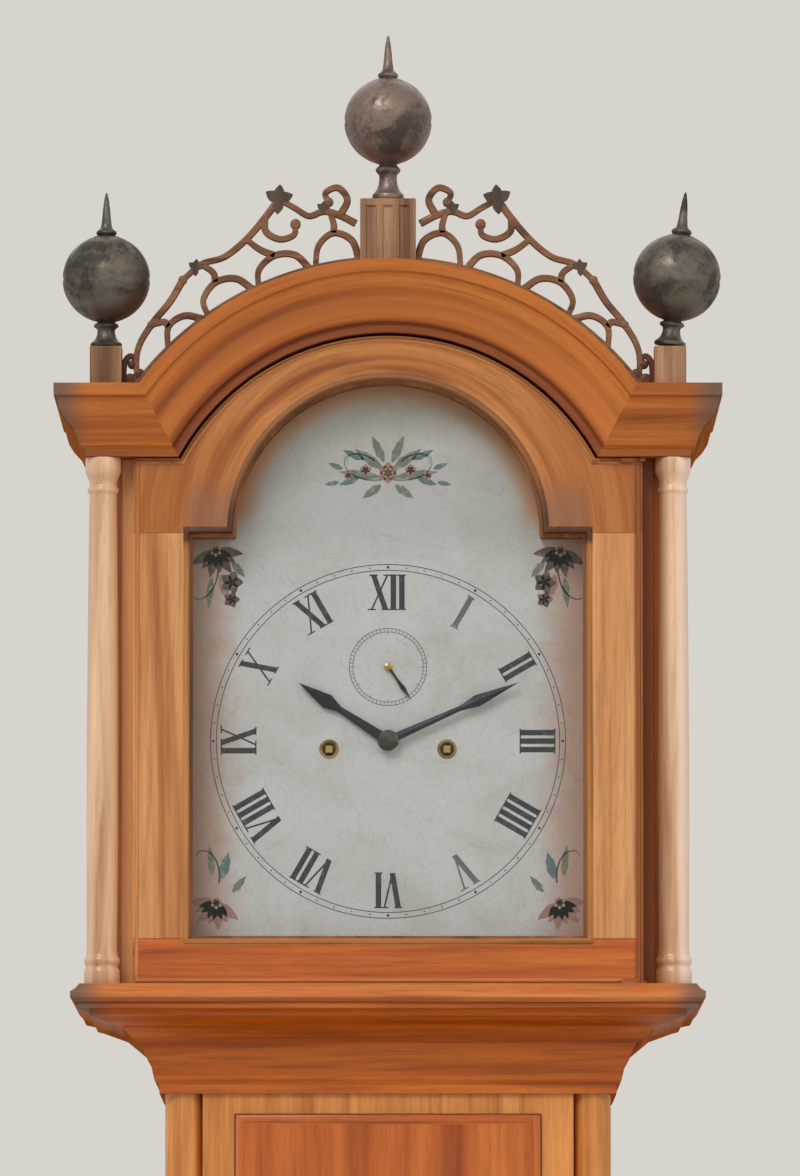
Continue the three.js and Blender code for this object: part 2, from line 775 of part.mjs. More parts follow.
function corniceStations() {
  const arcStation = (share) => (out, up) => {
    const radius = corniceArcRadius + up;
    const spring = springAngle(radius, soffit + up);
    const angle = Math.PI - spring - share * (Math.PI - 2 * spring);
    return [radius * Math.cos(angle), hoodFrontY - out, arcCentreZ + radius * Math.sin(angle)];
  };
  const steps = Array.from({ length: fineFacets + 1 }, (_, i) => arcStation(i / fineFacets));
  return [
    (out, up) => [-hoodHalf - out, wallY, soffit + up],
    (out, up) => [-hoodHalf - out, hoodFrontY - out, soffit + up],
    ...steps,
    (out, up) => [hoodHalf + out, hoodFrontY - out, soffit + up],
    (out, up) => [hoodHalf + out, wallY, soffit + up],
  ];
}

function pivotHole(z0, z1) {
  return rodZ(pivotRadius + fit, z0, z1, pivotX, pivotY);
}

function buildCornice() {
  const profile = profileFrom(corniceShares, corniceProjection, 0, corniceHeight);
  const moulding = swept(profile, corniceStations());
  place('cornice', cut(moulding, pivotHole(soffit - overrun, soffit + pivotLength)), cherry, hood);
}

// Hood: colonettes, plinths and finials

const colonetteShares = [
  [0, 0], [1, 0], [1, 0.028], [0.9, 0.034], [0.99, 0.044], [0.9, 0.056], [0.84, 0.07], [0.88, 0.3],
  [0.83, 0.7], [0.76, 0.93], [0.86, 0.938], [0.76, 0.948], [0.8, 0.956], [0.95, 0.972], [1, 0.974], [1, 1],
  [0, 1],
];
const stemShares = [[0.36, 0], [0.36, 0.14], [0.25, 0.3], [0.2, 0.62], [0.28, 0.8], [0.2, 0.94]];
const spireShares = [[0.2, 0.04], [0.23, 0.12], [0.13, 0.2], [0.09, 0.55], [0, 1]];

function finial(stemHeight) {
  const profile = [[0, 0]];
  stemShares.forEach(([out, up]) => profile.push([out * ballRadius, up * stemHeight]));
  const ballCentre = stemHeight + ballRadius * Math.cos(ballPoleAngle);
  for (let i = 0; i <= ballSteps; i += 1) {
    const angle = ballPoleAngle + (i / ballSteps) * (Math.PI - 2 * ballPoleAngle);
    profile.push([ballRadius * Math.sin(angle), ballCentre - ballRadius * Math.cos(angle)]);
  }
  const ballTop = ballCentre + ballRadius * Math.cos(ballPoleAngle);
  spireShares.forEach(([out, up]) => profile.push([out * ballRadius, ballTop + up * spireHeight]));
  return turned(profile, finialFacets);
}

function buildOrnaments() {
  const columnY = hoodFrontY - colonetteRadius - fit;
  for (const [sideName, side] of sides) {
    const height = soffit - hoodBaseTop - 3 * fit;
    const colonette = turned(colonetteShares.map(([out, up]) => [out * colonetteRadius, up * height]),
      colonetteFacets);
    colonette.translate(side * (hoodHalf + colonetteRadius), columnY, hoodBaseTop + 2 * fit);
    place(`colonette_${sideName}`, colonette, paleMaple, hood);

    const half = sidePlinthWidth / 2;
    const x = side * sideFinialX;
    place(`side_plinth_${sideName}`, block(x - half, x + half, crestY - half, crestY + half,
      corniceTop + fit, corniceTop + fit + sidePlinthHeight), cherry, hood);
    const foot = new THREE.Group();
    const lean = side > 0 ? THREE.MathUtils.degToRad(sideFinialLean) : 0;
    const lift = ballRadius * stemShares[0][0] * Math.sin(lean);
    foot.position.set(x, crestY, corniceTop + 2 * fit + sidePlinthHeight + lift);
    foot.rotation.y = lean;
    hood.add(foot);
    place(`side_finial_${sideName}`, finial(sideStemHeight), agedBrass, foot);
  }
  const half = centrePlinthWidth / 2;
  const seat = corniceOuterRadius + fit;
  const spread = Math.asin(half / seat);
  const plinth = new THREE.Shape();
  plinth.moveTo(half, centrePlinthZ);
  plinth.lineTo(-half, centrePlinthZ);
  plinth.absarc(0, arcCentreZ, seat, Math.PI / 2 + spread, Math.PI / 2 - spread, true);
  place('centre_plinth', alongY(plinth, crestY - sidePlinthWidth / 2, crestY + sidePlinthWidth / 2,
    coarseFacets), cherry, hood);
  const crown = finial(centreStemHeight);
  crown.translate(0, crestY, centrePlinthZ + fit);
  place('centre_finial', crown, agedBrass, hood);
}

// Hood: the frets are ribbons that follow the arch, from the centre plinth at 0 to the side plinth at 1

const fretRibbonShares = [
  [[0, 0.5], [0.05, 0.62], [0.1, 0.7], [0.15, 0.68], [0.19, 0.82], [0.23, 0.97]],
  [[0.23, 0.97], [0.29, 0.8], [0.37, 0.64], [0.46, 0.56], [0.54, 0.62], [0.62, 0.58]],
  [[0.62, 0.58], [0.7, 0.46], [0.8, 0.4], [0.9, 0.3], [1, 0.04]],
  [[0.05, 0.62], [0.02, 0.8], [0.045, 0.96], [0.085, 0.92], [0.08, 0.8]],
  [[0.29, 0.8], [0.3, 0.64], [0.265, 0.5], [0.215, 0.5], [0.2, 0.62]],
  [[0, 0.04], [0.02, 0.3], [0.08, 0.42], [0.14, 0.3], [0.17, 0.04]],
  [[0.19, 0.04], [0.23, 0.26], [0.3, 0.33], [0.37, 0.24], [0.4, 0.04]],
  [[0.42, 0.04], [0.46, 0.26], [0.53, 0.34], [0.6, 0.24], [0.62, 0.04]],
  [[0.64, 0.04], [0.69, 0.22], [0.76, 0.24], [0.82, 0.04]],
  [[0.08, 0.42], [0.075, 0.52], [0.08, 0.66]],
  [[0.3, 0.33], [0.34, 0.46], [0.37, 0.64]],
  [[0.53, 0.34], [0.52, 0.46], [0.54, 0.62]],
  [[0.76, 0.24], [0.76, 0.32], [0.8, 0.4]],
];
// Each leaf tip is a place along and above the arch, and its size
const fretLeafShares = [[0.23, 0.97, 1], [0.1, 0.74, 0.5], [0.56, 0.62, 0.6]];

function fretPoint(side, alongShare, riseShare) {
  const start = Math.asin((centrePlinthWidth / 2 + fit) / corniceOuterRadius);
  const end = Math.PI / 2 - springAngle(corniceOuterRadius, corniceTop);
  const angle = Math.PI / 2 - side * (start + alongShare * (end - start));
  const radius = corniceOuterRadius + fit + riseShare * fretHeight;
  return new THREE.Vector2(radius * Math.cos(angle), arcCentreZ + radius * Math.sin(angle));
}

function ribbon(centreLine, width) {
  const curve = new THREE.SplineCurve(centreLine);
  const steps = centreLine.length * ribbonSteps;
  const left = [];
  const right = [];
  for (let i = 0; i <= steps; i += 1) {
    const t = i / steps;
    const point = curve.getPoint(t);
    const tangent = curve.getTangent(t);
    const half = (width / 2) * (1 - endTaperShare * t);
    left.push([point.x - tangent.y * half, point.y + tangent.x * half]);
    right.push([point.x + tangent.y * half, point.y - tangent.x * half]);
  }
  return alongY(shapeOf([...left, ...right.reverse()]), crestY - fretThickness / 2,
    crestY + fretThickness / 2);
}

function fretLeaf(side, [alongShare, riseShare, sizeShare]) {
  const { x, y } = fretPoint(side, alongShare, riseShare);
  return rodY(sizeShare * fretLeafRadius, crestY - fretThickness / 2, crestY + fretThickness / 2, x, y,
    leafFacets);
}

function fret(side) {
  const steps = fineFacets / 2;
  const riseShare = fretStrip / (2 * fretHeight);
  const stripShares = Array.from({ length: steps + 1 }, (_, i) => [i / steps, riseShare]);
  const ribbons = [stripShares, ...fretRibbonShares].map((line) => (
    ribbon(line.map(([along, up]) => fretPoint(side, along, up)), fretStrip)
  ));
  const leaves = fretLeafShares.map((leaf) => fretLeaf(side, leaf));
  const halfPlinth = centrePlinthWidth / 2 + fit;
  const plinthRoom = block(-halfPlinth, halfPlinth, crestY - sidePlinthWidth, crestY + sidePlinthWidth,
    arcCentreZ, centrePlinthZ);
  const archRoom = rodY(corniceOuterRadius + fit, crestY - sidePlinthWidth, crestY + sidePlinthWidth, 0,
    arcCentreZ, archFacets);
  return cut(joined(...ribbons, ...leaves), plinthRoom, archRoom);
}

// Hood door

function buildHoodDoor() {
  const half = hoodDoorHalf;
  const bottom = hoodBaseTop + 2 * fit;
  const shoulder = soffit - doorGap;
  const frame = hoodSection(half, bottom, shoulder, corniceArcRadius - archGap);
  frame.holes.push(openingOutline(0, THREE.Path));
  const plates = [[bottom, bottom + pivotPlateThickness], [shoulder - pivotPlateThickness, shoulder]];
  const hinges = plates.flatMap(([z0, z1]) => [
    block(half - pivotPlateLength, half, pivotY, hoodDoorFrontY + overrun, z0, z1),
    rodZ(pivotPlateWidth, z0, z1, pivotX, pivotY),
  ]);
  const pins = [
    rodZ(pivotRadius, bottom - pivotLength, bottom + overrun, pivotX, pivotY),
    rodZ(pivotRadius, shoulder - overrun, shoulder + pivotLength, pivotX, pivotY),
  ];
  const board = alongY(frame, hoodDoorFrontY, hoodDoorRearY);
  place('hood_door_frame', joined(board, ...hinges, ...pins), cherry, hood);
  const middle = (hoodDoorFrontY + hoodDoorRearY) / 2;
  const pane = openingOutline(fit, THREE.Shape);
  place('hood_door_glass', alongY(pane, middle - glassThickness / 2, middle + glassThickness / 2),
    windowGlass, hood);
}

// Dial

function dialOutline() {
  const half = openingHalf + dialLap;
  const shape = new THREE.Shape();
  shape.moveTo(-half, openingBottom - dialMargin);
  shape.lineTo(half, openingBottom - dialMargin);
  shape.lineTo(half, openingArchZ);
  shape.lineTo(openingArchRadius + dialMargin, openingArchZ);
  shape.absarc(0, openingArchZ, openingArchRadius + dialMargin, 0, Math.PI, false);
  shape.lineTo(-half, openingArchZ);
  return shape;
}

function buildDial() {
  const shape = dialOutline();
  shape.holes.push(
    circle(hourPipeRadius + pipeGap, 0, centreZ),
    circle(fineArborRadius + pipeGap, 0, escapeZ),
    ...sides.map(([, side]) => circle(barrelArborRadius + pipeGap, side * windingSpread, windingZ)),
  );
  const rear = dialFrontY + dialThickness;
  const footFrontY = rear - dialThickness / 2;
  const feet = pillarLevels.flatMap((z) => (
    sides.map(([, side]) => rodY(dialFootRadius, footFrontY, frontPlateY - fit, side * pillarX, z))
  ));
  place('dial', joined(alongY(shape, dialFrontY, rear), ...feet), paintedIron);
}

// Wheels: teeth are cut as a zigzag, with a gap between two teeth at the phase angle

function gearPath(teeth, module, phase, x, z, Kind) {
  const pitchRadius = (teeth * module) / 2;
  const points = [];
  for (let i = 0; i < teeth; i += 1) {
    const root = phase + (i / teeth) * 2 * Math.PI;
    const tip = root + Math.PI / teeth;
    const rootRadius = pitchRadius - dedendumShare * module;
    const tipRadius = pitchRadius + addendumShare * module;
    points.push(new THREE.Vector2(x + rootRadius * Math.cos(root), z + rootRadius * Math.sin(root)));
    points.push(new THREE.Vector2(x + tipRadius * Math.cos(tip), z + tipRadius * Math.sin(tip)));
  }
  return new Kind(points);
}

// Four crossings leave a rim, a hub and four spokes
function crossings(rimRadius, hubRadius, x, z) {
  return [0, 1, 2, 3].map((quarter) => {
    const edge = (radius) => Math.asin(spokeWidth / 2 / radius);
    const start = (quarter * Math.PI) / 2;
    const points = [];
    const arc = (radius, steps, from, to) => {
      for (let i = 0; i <= steps; i += 1) {
        const angle = start + from + ((to - from) * i) / steps;
        points.push(new THREE.Vector2(x + radius * Math.cos(angle), z + radius * Math.sin(angle)));
      }
    };
    arc(rimRadius, rimSteps, edge(rimRadius), Math.PI / 2 - edge(rimRadius));
    arc(hubRadius, 1, Math.PI / 2 - edge(hubRadius), edge(hubRadius));
    return new THREE.Path(points);
  });
}

function wheel(teeth, module, phase, at, y0, y1, bore) {
  const shape = gearPath(teeth, module, phase, at.x, at.z, THREE.Shape);
  const rim = (teeth * module) / 2 - rimWidth;
  const hub = Math.max(bore, arborRadius) + hubWidth;
  shape.holes.push(...crossings(rim, hub, at.x, at.z));
  if (bore > 0) {
    shape.holes.push(circle(bore, at.x, at.z));
  }
  return alongY(shape, y0, y1);
}

function pinion(leaves, module, phase, at, y0, y1) {
  return alongY(gearPath(leaves, module, phase, at.x, at.z, THREE.Shape), y0, y1);
}

function bearing(from, to) {
  return Math.atan2(to.z - from.z, to.x - from.x);
}

function distance(from, to) {
  return Math.hypot(to.x - from.x, to.z - from.z);
}

// The phase that puts a tooth of the second wheel into the gap of the first
function meshedPhase(from, to, teeth) {
  return bearing(to, from) + Math.PI / teeth;
}

const centre = { x: 0, z: centreZ };
const goingBarrel = { x: windingSpread, z: windingZ };
const strikeBarrel = { x: -windingSpread, z: windingZ };
const escapeArbor = { x: 0, z: escapeZ };
const anchorArbor = { x: 0, z: anchorZ };
const greatModule = (2 * distance(goingBarrel, centre)) / (greatTeeth + centrePinionLeaves);
const thirdArbor = { x: -thirdOffset, z: thirdZ };
const minuteReach = (trainModule * (cannonTeeth + minuteTeeth)) / 2;
const minuteArbor = {
  x: -minuteReach * Math.cos(minuteWheelTilt),
  z: centreZ - minuteReach * Math.sin(minuteWheelTilt),
};
const hourModule = (2 * minuteReach) / (minutePinionLeaves + hourTeeth);

// Movement: plates, pillars and the cock that holds the pendulum

function platePivots() {
  const loose = arborRadius + fit;
  const fine = fineArborRadius + fit;
  return [
    circle(loose, centre.x, centre.z),
    circle(fine, thirdArbor.x, thirdArbor.z, finePivotFacets),
    circle(fine, escapeArbor.x, escapeArbor.z, finePivotFacets),
    circle(fine, anchorArbor.x, anchorArbor.z, finePivotFacets),
    circle(fine, hammerX, hammerZ, finePivotFacets),
    circle(fine, minuteArbor.x, minuteArbor.z, finePivotFacets),
    ...sides.map(([, side]) => circle(barrelArborRadius + fit, side * windingSpread, windingZ)),
  ];
}

function plate(y0) {
  const shape = shapeOf(rectangle(-plateWidth / 2, plateWidth / 2, plateBottom, plateTop));
  shape.holes.push(...platePivots());
  return alongY(shape, y0, y0 + plateThickness);
}

function buildFrame() {
  place('front_plate', plate(frontPlateY), brass);
  const rootY = backPlateY + plateThickness / 2;
  const pillars = pillarLevels.flatMap((z) => (
    sides.map(([, side]) => rodY(pillarRadius, plateInner + fit, rootY, side * pillarX, z))
  ));
  const cock = block(-cockWidth / 2, cockWidth / 2, rootY, pendulumY + suspensionWidth,
    anchorZ + cockRise, plateTop);
  place('back_plate', joined(plate(backPlateY), cock, ...pillars), brass);
}

// Hands: a tapered blade with an eye at the arbor, drawn up from the centre and turned to its hour

function hand(length, eyeRadius, bore, angle, y, z) {
  const turn = THREE.MathUtils.degToRad(angle);
  const blade = shapeOf(handOutlineShares.map(([acrossShare, alongShare]) => {
    const across = acrossShare * eyeRadius;
    const along = alongShare * length;
    return [
      across * Math.cos(turn) + along * Math.sin(turn),
      z - across * Math.sin(turn) + along * Math.cos(turn),
    ];
  }));
  const eye = new THREE.Shape(circle(eyeRadius, 0, z).getPoints());
  const whole = joined(alongY(blade, y, y + handThickness), alongY(eye, y, y + handThickness));
  return bore > 0 ? cut(whole, rodY(bore, y - overrun, y + handThickness + overrun, 0, z)) : whole;
}

function pipe(outerRadius, innerRadius, y0, y1) {
  const shape = new THREE.Shape(circle(outerRadius, 0, centreZ).getPoints());
  shape.holes.push(circle(innerRadius, 0, centreZ));
  return alongY(shape, y0, y1);
}

function buildMotionWork() {
  const cannonBore = arborRadius + fit;
  const hourBore = cannonPipeRadius + fit;
  const cannonPhase = bearing(centre, minuteArbor);
  const cannonWheel = wheel(cannonTeeth, trainModule, cannonPhase, centre, minuteWheelY,
    minuteWheelY + wheelThickness, cannonBore);
  const minuteHand = hand(minuteHandLength, minuteEyeRadius, cannonBore, minuteHandAngle, minuteHandY,
    centreZ);
  const cannonPipe = pipe(cannonPipeRadius, cannonBore, minuteHandY, minuteWheelY + wheelThickness);
  place('minute_hand', joined(cannonWheel, cannonPipe, minuteHand), steel);

  const minuteWheelPhase = meshedPhase(centre, minuteArbor, minuteTeeth);
  const minuteWheel = wheel(minuteTeeth, trainModule, minuteWheelPhase, minuteArbor,
    minuteWheelY, minuteWheelY + wheelThickness, 0);
  const leaves = pinion(minutePinionLeaves, hourModule, bearing(minuteArbor, centre), minuteArbor,
    hourWheelY - fit, minuteWheelY + wheelThickness / 2);
  const staff = rodY(fineArborRadius, hourWheelY, plateInner, minuteArbor.x, minuteArbor.z,
    finePivotFacets);
  place('minute_wheel', joined(minuteWheel, leaves, staff), brass);

  const hourPhase = meshedPhase(minuteArbor, centre, hourTeeth);
  const hourWheel = wheel(hourTeeth, hourModule, hourPhase, centre, hourWheelY,
    hourWheelY + wheelThickness, hourBore);
  const hourHand = hand(hourHandLength, hourEyeRadius, hourBore, hourHandAngle, hourHandY, centreZ);
  const hourPipe = pipe(hourPipeRadius, hourBore, hourHandY, hourWheelY + wheelThickness);
  place('hour_hand', joined(hourWheel, hourPipe, hourHand), steel);
}

// Going train: great wheel, centre wheel, third wheel and escape wheel with the seconds hand

function buildGoingTrain() {
  const greatBack = greatWheelY + greatWheelThickness;
  const greatPhase = bearing(goingBarrel, centre);
  place('great_wheel', wheel(greatTeeth, greatModule, greatPhase, goingBarrel, greatWheelY, greatBack,
    barrelArborRadius + fit), brass);

  const centreWheelY = plateInner + centreWheelBehindPlate;
  const centrePinion = pinion(centrePinionLeaves, greatModule,
    meshedPhase(goingBarrel, centre, centrePinionLeaves), centre, greatWheelY - wheelThickness,
    greatBack + wheelThickness);
  const centreArbor = rodY(arborRadius, minuteHandY - wheelThickness, backPlateRear, centre.x, centre.z);
  const centrePhase = bearing(centre, thirdArbor);
  const centreWheel = wheel(centreTeeth, trainModule, centrePhase, centre, centreWheelY,
    centreWheelY + wheelThickness, 0);
  place('centre_wheel', joined(centreWheel, centrePinion, centreArbor), brass);

  const thirdPinion = pinion(thirdPinionLeaves, trainModule,
    meshedPhase(centre, thirdArbor, thirdPinionLeaves), thirdArbor, centreWheelY - wheelThickness / 2,
    centreWheelY + 2 * wheelThickness);
  const thirdWheel = wheel(thirdTeeth, trainModule, bearing(thirdArbor, escapeArbor), thirdArbor,
    thirdWheelY, thirdWheelY + wheelThickness, 0);
  const thirdStaff = rodY(fineArborRadius, frontPlateY, backPlateRear, thirdArbor.x, thirdArbor.z,
    finePivotFacets);
  place('third_wheel', joined(thirdWheel, thirdPinion, thirdStaff), brass);

  const escapePinion = pinion(escapePinionLeaves, trainModule,
    meshedPhase(thirdArbor, escapeArbor, escapePinionLeaves), escapeArbor, thirdWheelY - wheelThickness,
    thirdWheelY + 2 * wheelThickness);
  const escapeModule = escapeWheelRadius / (escapeTeeth / 2 + addendumShare);
  const escapeWheel = wheel(escapeTeeth, escapeModule, 0, escapeArbor, escapeWheelY,
    escapeWheelY + wheelThickness, 0);
  const escapeStaff = rodY(fineArborRadius, secondsHandY, backPlateRear, escapeArbor.x, escapeArbor.z,
    finePivotFacets);
  const secondsHand = hand(secondsHandLength, secondsEyeRadius, 0, secondsHandAngle, secondsHandY, escapeZ);
  place('escape_wheel', joined(escapeWheel, escapePinion, escapeStaff, secondsHand), brass);
}

// Barrels: a drum with two flanges on an arbor that ends in the winding square

function barrel(at) {
  const drum = rodY(barrelRadius, barrelFrontY, barrelRearY, at.x, at.z, mediumFacets);
  const flanges = [barrelFrontY, barrelRearY - barrelFlange].map((y) => (
    rodY(barrelRadius + barrelFlange, y, y + barrelFlange, at.x, at.z, mediumFacets)
  ));
  const arbor = rodY(barrelArborRadius, frontPlateY, backPlateRear, at.x, at.z);
  const half = barrelArborRadius * squareShare;
  const squareRearY = frontPlateY + overrun;
  const square = block(at.x - half, at.x + half, dialFrontY, squareRearY, at.z - half, at.z + half);
  return joined(drum, ...flanges, arbor, square);
}

function buildStriking() {
  place('going_barrel', barrel(goingBarrel), brass);
  place('strike_barrel', barrel(strikeBarrel), brass);
  const strikeWheel = wheel(strikeTeeth, greatModule, 0, strikeBarrel, greatWheelY,
    greatWheelY + greatWheelThickness, barrelArborRadius + fit);
  place('strike_great_wheel', strikeWheel, brass);

  const arm = shapeOf([
    [hammerX - fineArborRadius, hammerZ - fineArborRadius],
    [hammerX + fineArborRadius, hammerZ - fineArborRadius],
    [hammerHeadX + fineArborRadius, hammerHeadZ],
    [hammerHeadX - fineArborRadius, hammerHeadZ],
  ]);
  place('bell_hammer', joined(
    rodY(fineArborRadius, frontPlateY, backPlateRear, hammerX, hammerZ, finePivotFacets),
    alongY(arm, bellY - handThickness, bellY + handThickness),
    rodX(hammerHeadRadius, hammerHeadX - hammerHeadLength / 2, hammerHeadX + hammerHeadLength / 2, bellY,
      hammerHeadZ),
  ), steel);

  const outer = bellShares.map(([out, up]) => [out * bellRadius, up * bellHeight]);
  const inner = bellShares.map(([out, up]) => [
    out * (bellRadius - bellWall),
    up * (bellHeight - bellWall),
  ]);
  const bell = turned([...inner.reverse(), ...outer], mediumFacets);
  bell.translate(bellX, bellY, bellZ);
  const armTop = bellZ + bellHeight + 2 * plateThickness;
  const standX = [bellX - pillarRadius, bellX + pillarRadius];
  const standY = backPlateRear + fit;
  place('bell', joined(
    bell,
    rodZ(fineArborRadius, bellZ + bellHeight - bellWall, armTop, bellX, bellY),
    block(...standX, bellY - pillarRadius, standY + plateThickness, armTop - plateThickness, armTop),
    block(...standX, standY, standY + plateThickness, escapeZ, armTop),
  ), brass);
}

// Pendulum and anchor: both turn about the line of the anchor arbor

function buildPendulum() {
  const top = anchorZ + cockRise - fit;
  const bobZ = anchorZ - pendulumLength;
  const lens = [];
  for (let i = 0; i <= lensSteps; i += 1) {
    const angle = (i / lensSteps) * Math.PI;
    lens.push([bobRadius * Math.sin(angle), -(bobThickness / 2) * Math.cos(angle)]);
  }
  const bob = turned(lens).rotateX(-Math.PI / 2).translate(0, pendulumY, bobZ);
  const springY = [pendulumY - suspensionWidth / 2, pendulumY + suspensionWidth / 2];
  const rodTop = top - suspensionLength;
  const nutZ = bobZ - bobRadius - ratingNutDrop / 2;
  place('pendulum', joined(
    block(-suspensionThickness / 2, suspensionThickness / 2, ...springY, rodTop, top),
    block(-rodRadius, rodRadius, ...springY, rodTop - suspensionWidth, rodTop + suspensionWidth / 2),
    rodZ(rodRadius, bobZ - bobRadius - ratingNutDrop, rodTop, 0, pendulumY),
    bob,
    rodZ(2 * rodRadius, nutZ, nutZ + rodRadius, 0, pendulumY),
  ), brass);

  const mirroredShares = anchorShares.slice(1, -1).reverse().map(([across, up]) => [-across, up]);
  const anchorShape = shapeOf([...anchorShares, ...mirroredShares].map(([across, up]) => [
    across * escapeWheelRadius,
    anchorZ + up * escapeWheelRadius,
  ]));
  const crutchY = backPlateRear + crutchGap;
  const crutchZ = anchorZ - crutchDrop;
  const crutchBack = crutchY + plateThickness;
  const prongs = sides.map(([, side]) => {
    const [x0, x1] = [side * (rodRadius + fit), side * (rodRadius + plateThickness)].sort((a, b) => a - b);
    return block(x0, x1, crutchY, pendulumY + rodRadius, crutchZ, crutchZ + plateThickness);
  });
  place('anchor', joined(
    alongY(anchorShape, escapeWheelY - wheelThickness / 2, escapeWheelY + 3 * wheelThickness / 2),
    rodY(fineArborRadius, frontPlateY, crutchBack, 0, anchorZ, finePivotFacets),
    block(-fineArborRadius, fineArborRadius, crutchY, crutchBack, crutchZ, anchorZ),
    block(-rodRadius - plateThickness, rodRadius + plateThickness, crutchY, crutchBack, crutchZ,
      crutchZ + plateThickness),
    ...prongs,
  ), steel);
}

// Weights: each hangs from a pulley that rides in the bight of its line
// Both barrels wind clockwise, so each line leaves its barrel on the left

function buildWeight(name, side) {
  const barrelLineX = side * windingSpread - barrelReach;
  const x = barrelLineX + pulleyReach;
  const bottom = weightFloorGap;
  const profile = weightShares.map(([out, up]) => [out * weightRadius, up * weightLength]);
  const body = turned(profile, mediumFacets);
  body.translate(x, lineY, bottom);
  const crossZ = pulleyZ - pulleyRadius - strapThickness - 2 * fit;
  const strapY = pulleyWidth / 2 + fit;
  const strapX = [x - strapWidth / 2, x + strapWidth / 2];
  const strapBottom = crossZ - strapThickness;
  const straps = [-strapY - strapThickness, strapY].map((offset) => (
    block(...strapX, lineY + offset, lineY + offset + strapThickness, strapBottom, pulleyZ + strapWidth / 2)
  ));
  const yokeY = strapY + strapThickness;
  const axleY = strapY + strapThickness / 2;
  place(`${name}_weight`, joined(
    body,
    rodZ(axleRadius, bottom + weightLength - overrun, crossZ, x, lineY),
    block(...strapX, lineY - yokeY, lineY + yokeY, strapBottom, crossZ),
    ...straps,
    rodY(axleRadius, lineY - axleY, lineY + axleY, x, pulleyZ),
  ), brass);

  const bore = axleRadius + fit;
  const half = pulleyWidth / 2;
  const floor = lineRadius + fit;
  const groove = [
    [bore, -half], [pulleyRadius, -half], [pulleyGrooveRadius, -floor],
    [pulleyGrooveRadius, floor], [pulleyRadius, half], [bore, half], [bore, -half],
  ];
  const pulley = turned(groove).rotateX(-Math.PI / 2).translate(x, lineY, pulleyZ);
  place(`${name}_pulley`, pulley, brass);

  const strand = (lineX, top) => rodZ(lineRadius, pulleyZ, top, lineX, lineY, lineFacets);
  place(`${name}_barrel_line`, strand(barrelLineX, windingZ), gut);
  place(`${name}_hook_line`, strand(barrelLineX + 2 * pulleyReach, seatboardBottom - fit), gut);
}

buildBase();
buildWaist();
buildWaistDoor();
buildCaseTop();
buildHoodBoards();
buildCornice();
buildOrnaments();
for (const [sideName, side] of sides) {
  place(`fret_${sideName}`, fret(side), cherry, hood);
}
buildHoodDoor();
buildDial();
buildFrame();
buildMotionWork();
buildGoingTrain();
buildStriking();
buildPendulum();
buildWeight('going', 1);
buildWeight('strike', -1);

clock.updateMatrixWorld(true);
export default clock;
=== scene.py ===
import math

import bmesh
import bpy
from mathutils import Matrix, Vector


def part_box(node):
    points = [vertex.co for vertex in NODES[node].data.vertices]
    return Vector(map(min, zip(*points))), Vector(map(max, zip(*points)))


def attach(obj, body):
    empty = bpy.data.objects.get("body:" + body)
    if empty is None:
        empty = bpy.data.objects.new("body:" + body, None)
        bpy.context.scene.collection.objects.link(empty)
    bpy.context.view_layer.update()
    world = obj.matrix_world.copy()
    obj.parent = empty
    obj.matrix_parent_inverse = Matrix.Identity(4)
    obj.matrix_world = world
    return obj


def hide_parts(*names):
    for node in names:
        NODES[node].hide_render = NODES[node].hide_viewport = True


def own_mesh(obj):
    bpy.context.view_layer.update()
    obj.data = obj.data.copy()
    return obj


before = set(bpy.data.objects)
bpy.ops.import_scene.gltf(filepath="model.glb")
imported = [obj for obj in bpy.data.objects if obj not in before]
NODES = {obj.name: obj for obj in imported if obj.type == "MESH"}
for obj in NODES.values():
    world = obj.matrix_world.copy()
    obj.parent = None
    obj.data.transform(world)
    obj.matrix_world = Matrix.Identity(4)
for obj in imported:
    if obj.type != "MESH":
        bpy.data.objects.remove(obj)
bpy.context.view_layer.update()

SIDES = {"left": -1, "right": 1}


def centre(node):
    """The middle of a node's box as (x, y, z)"""
    low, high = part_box(node)
    return [(low[axis] + high[axis]) / 2 for axis in range(3)]


def by_name(groups):
    """Turns (value, "name name ...") pairs into a value for each name"""
    return {name: value for value, names in groups for name in names.split()}


def link(name, data):
    """Makes an object and puts it in the scene"""
    thing = bpy.data.objects.new(name, data)
    bpy.context.collection.objects.link(thing)
    return thing


def aim(thing, direction, axis):
    """Turns an object's own axis along a direction"""
    thing.rotation_mode = "QUATERNION"
    thing.rotation_quaternion = direction.to_track_quat(axis, "Y")


def angles(count, sweep=math.tau):
    """Evenly spaced angles: a full turn without its end, or a part of a turn with both its ends"""
    return [i / count * sweep for i in range(count if sweep == math.tau else count + 1)]


def circle(radius, count, x=0.0, z=0.0):
    """Points round a circle as (x, z)"""
    return [(x + radius * math.cos(a), z + radius * math.sin(a)) for a in angles(count)]


# Sizes and places in metres, from the frame or with the same values as in the part's source

FIT = 0.0003
ARC_Z = 1.932
CORNICE_R = 0.232
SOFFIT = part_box("cornice")[0].z
HOOD_HALF = 0.2005
PLINTH_HALF = 0.021
OPENING_HALF = 0.149
OPENING_BOTTOM = 1.655
OPENING_ARCH_Z = 1.960
OPENING_ARCH_R = 0.1165
DOOR_HALF = 0.191
DOOR_BOTTOM = 1.6206
DOOR_SHOULDER = 2.0162
DOOR_ARCH_R = 0.177
DOOR_FRONT_Y = -0.096
WAIST_DOOR_HALF = 0.1145
WAIST_DOOR_FRONT_Y = -0.056
DIAL_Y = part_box("dial")[0].y
WINDING_X = 0.0444
WINDING_Z = centre("going_barrel")[2]
CENTRE_Z = WINDING_Z + 0.006
SECONDS_Z = CENTRE_Z + 0.056

# Where the front of a moulding meets its returns: |x| + y there
HOOD_MITRE = 0.1235
CASE_MITRE = 0.1145


# Camera: a long lens from a little below the hood, as the photograph looks up at it

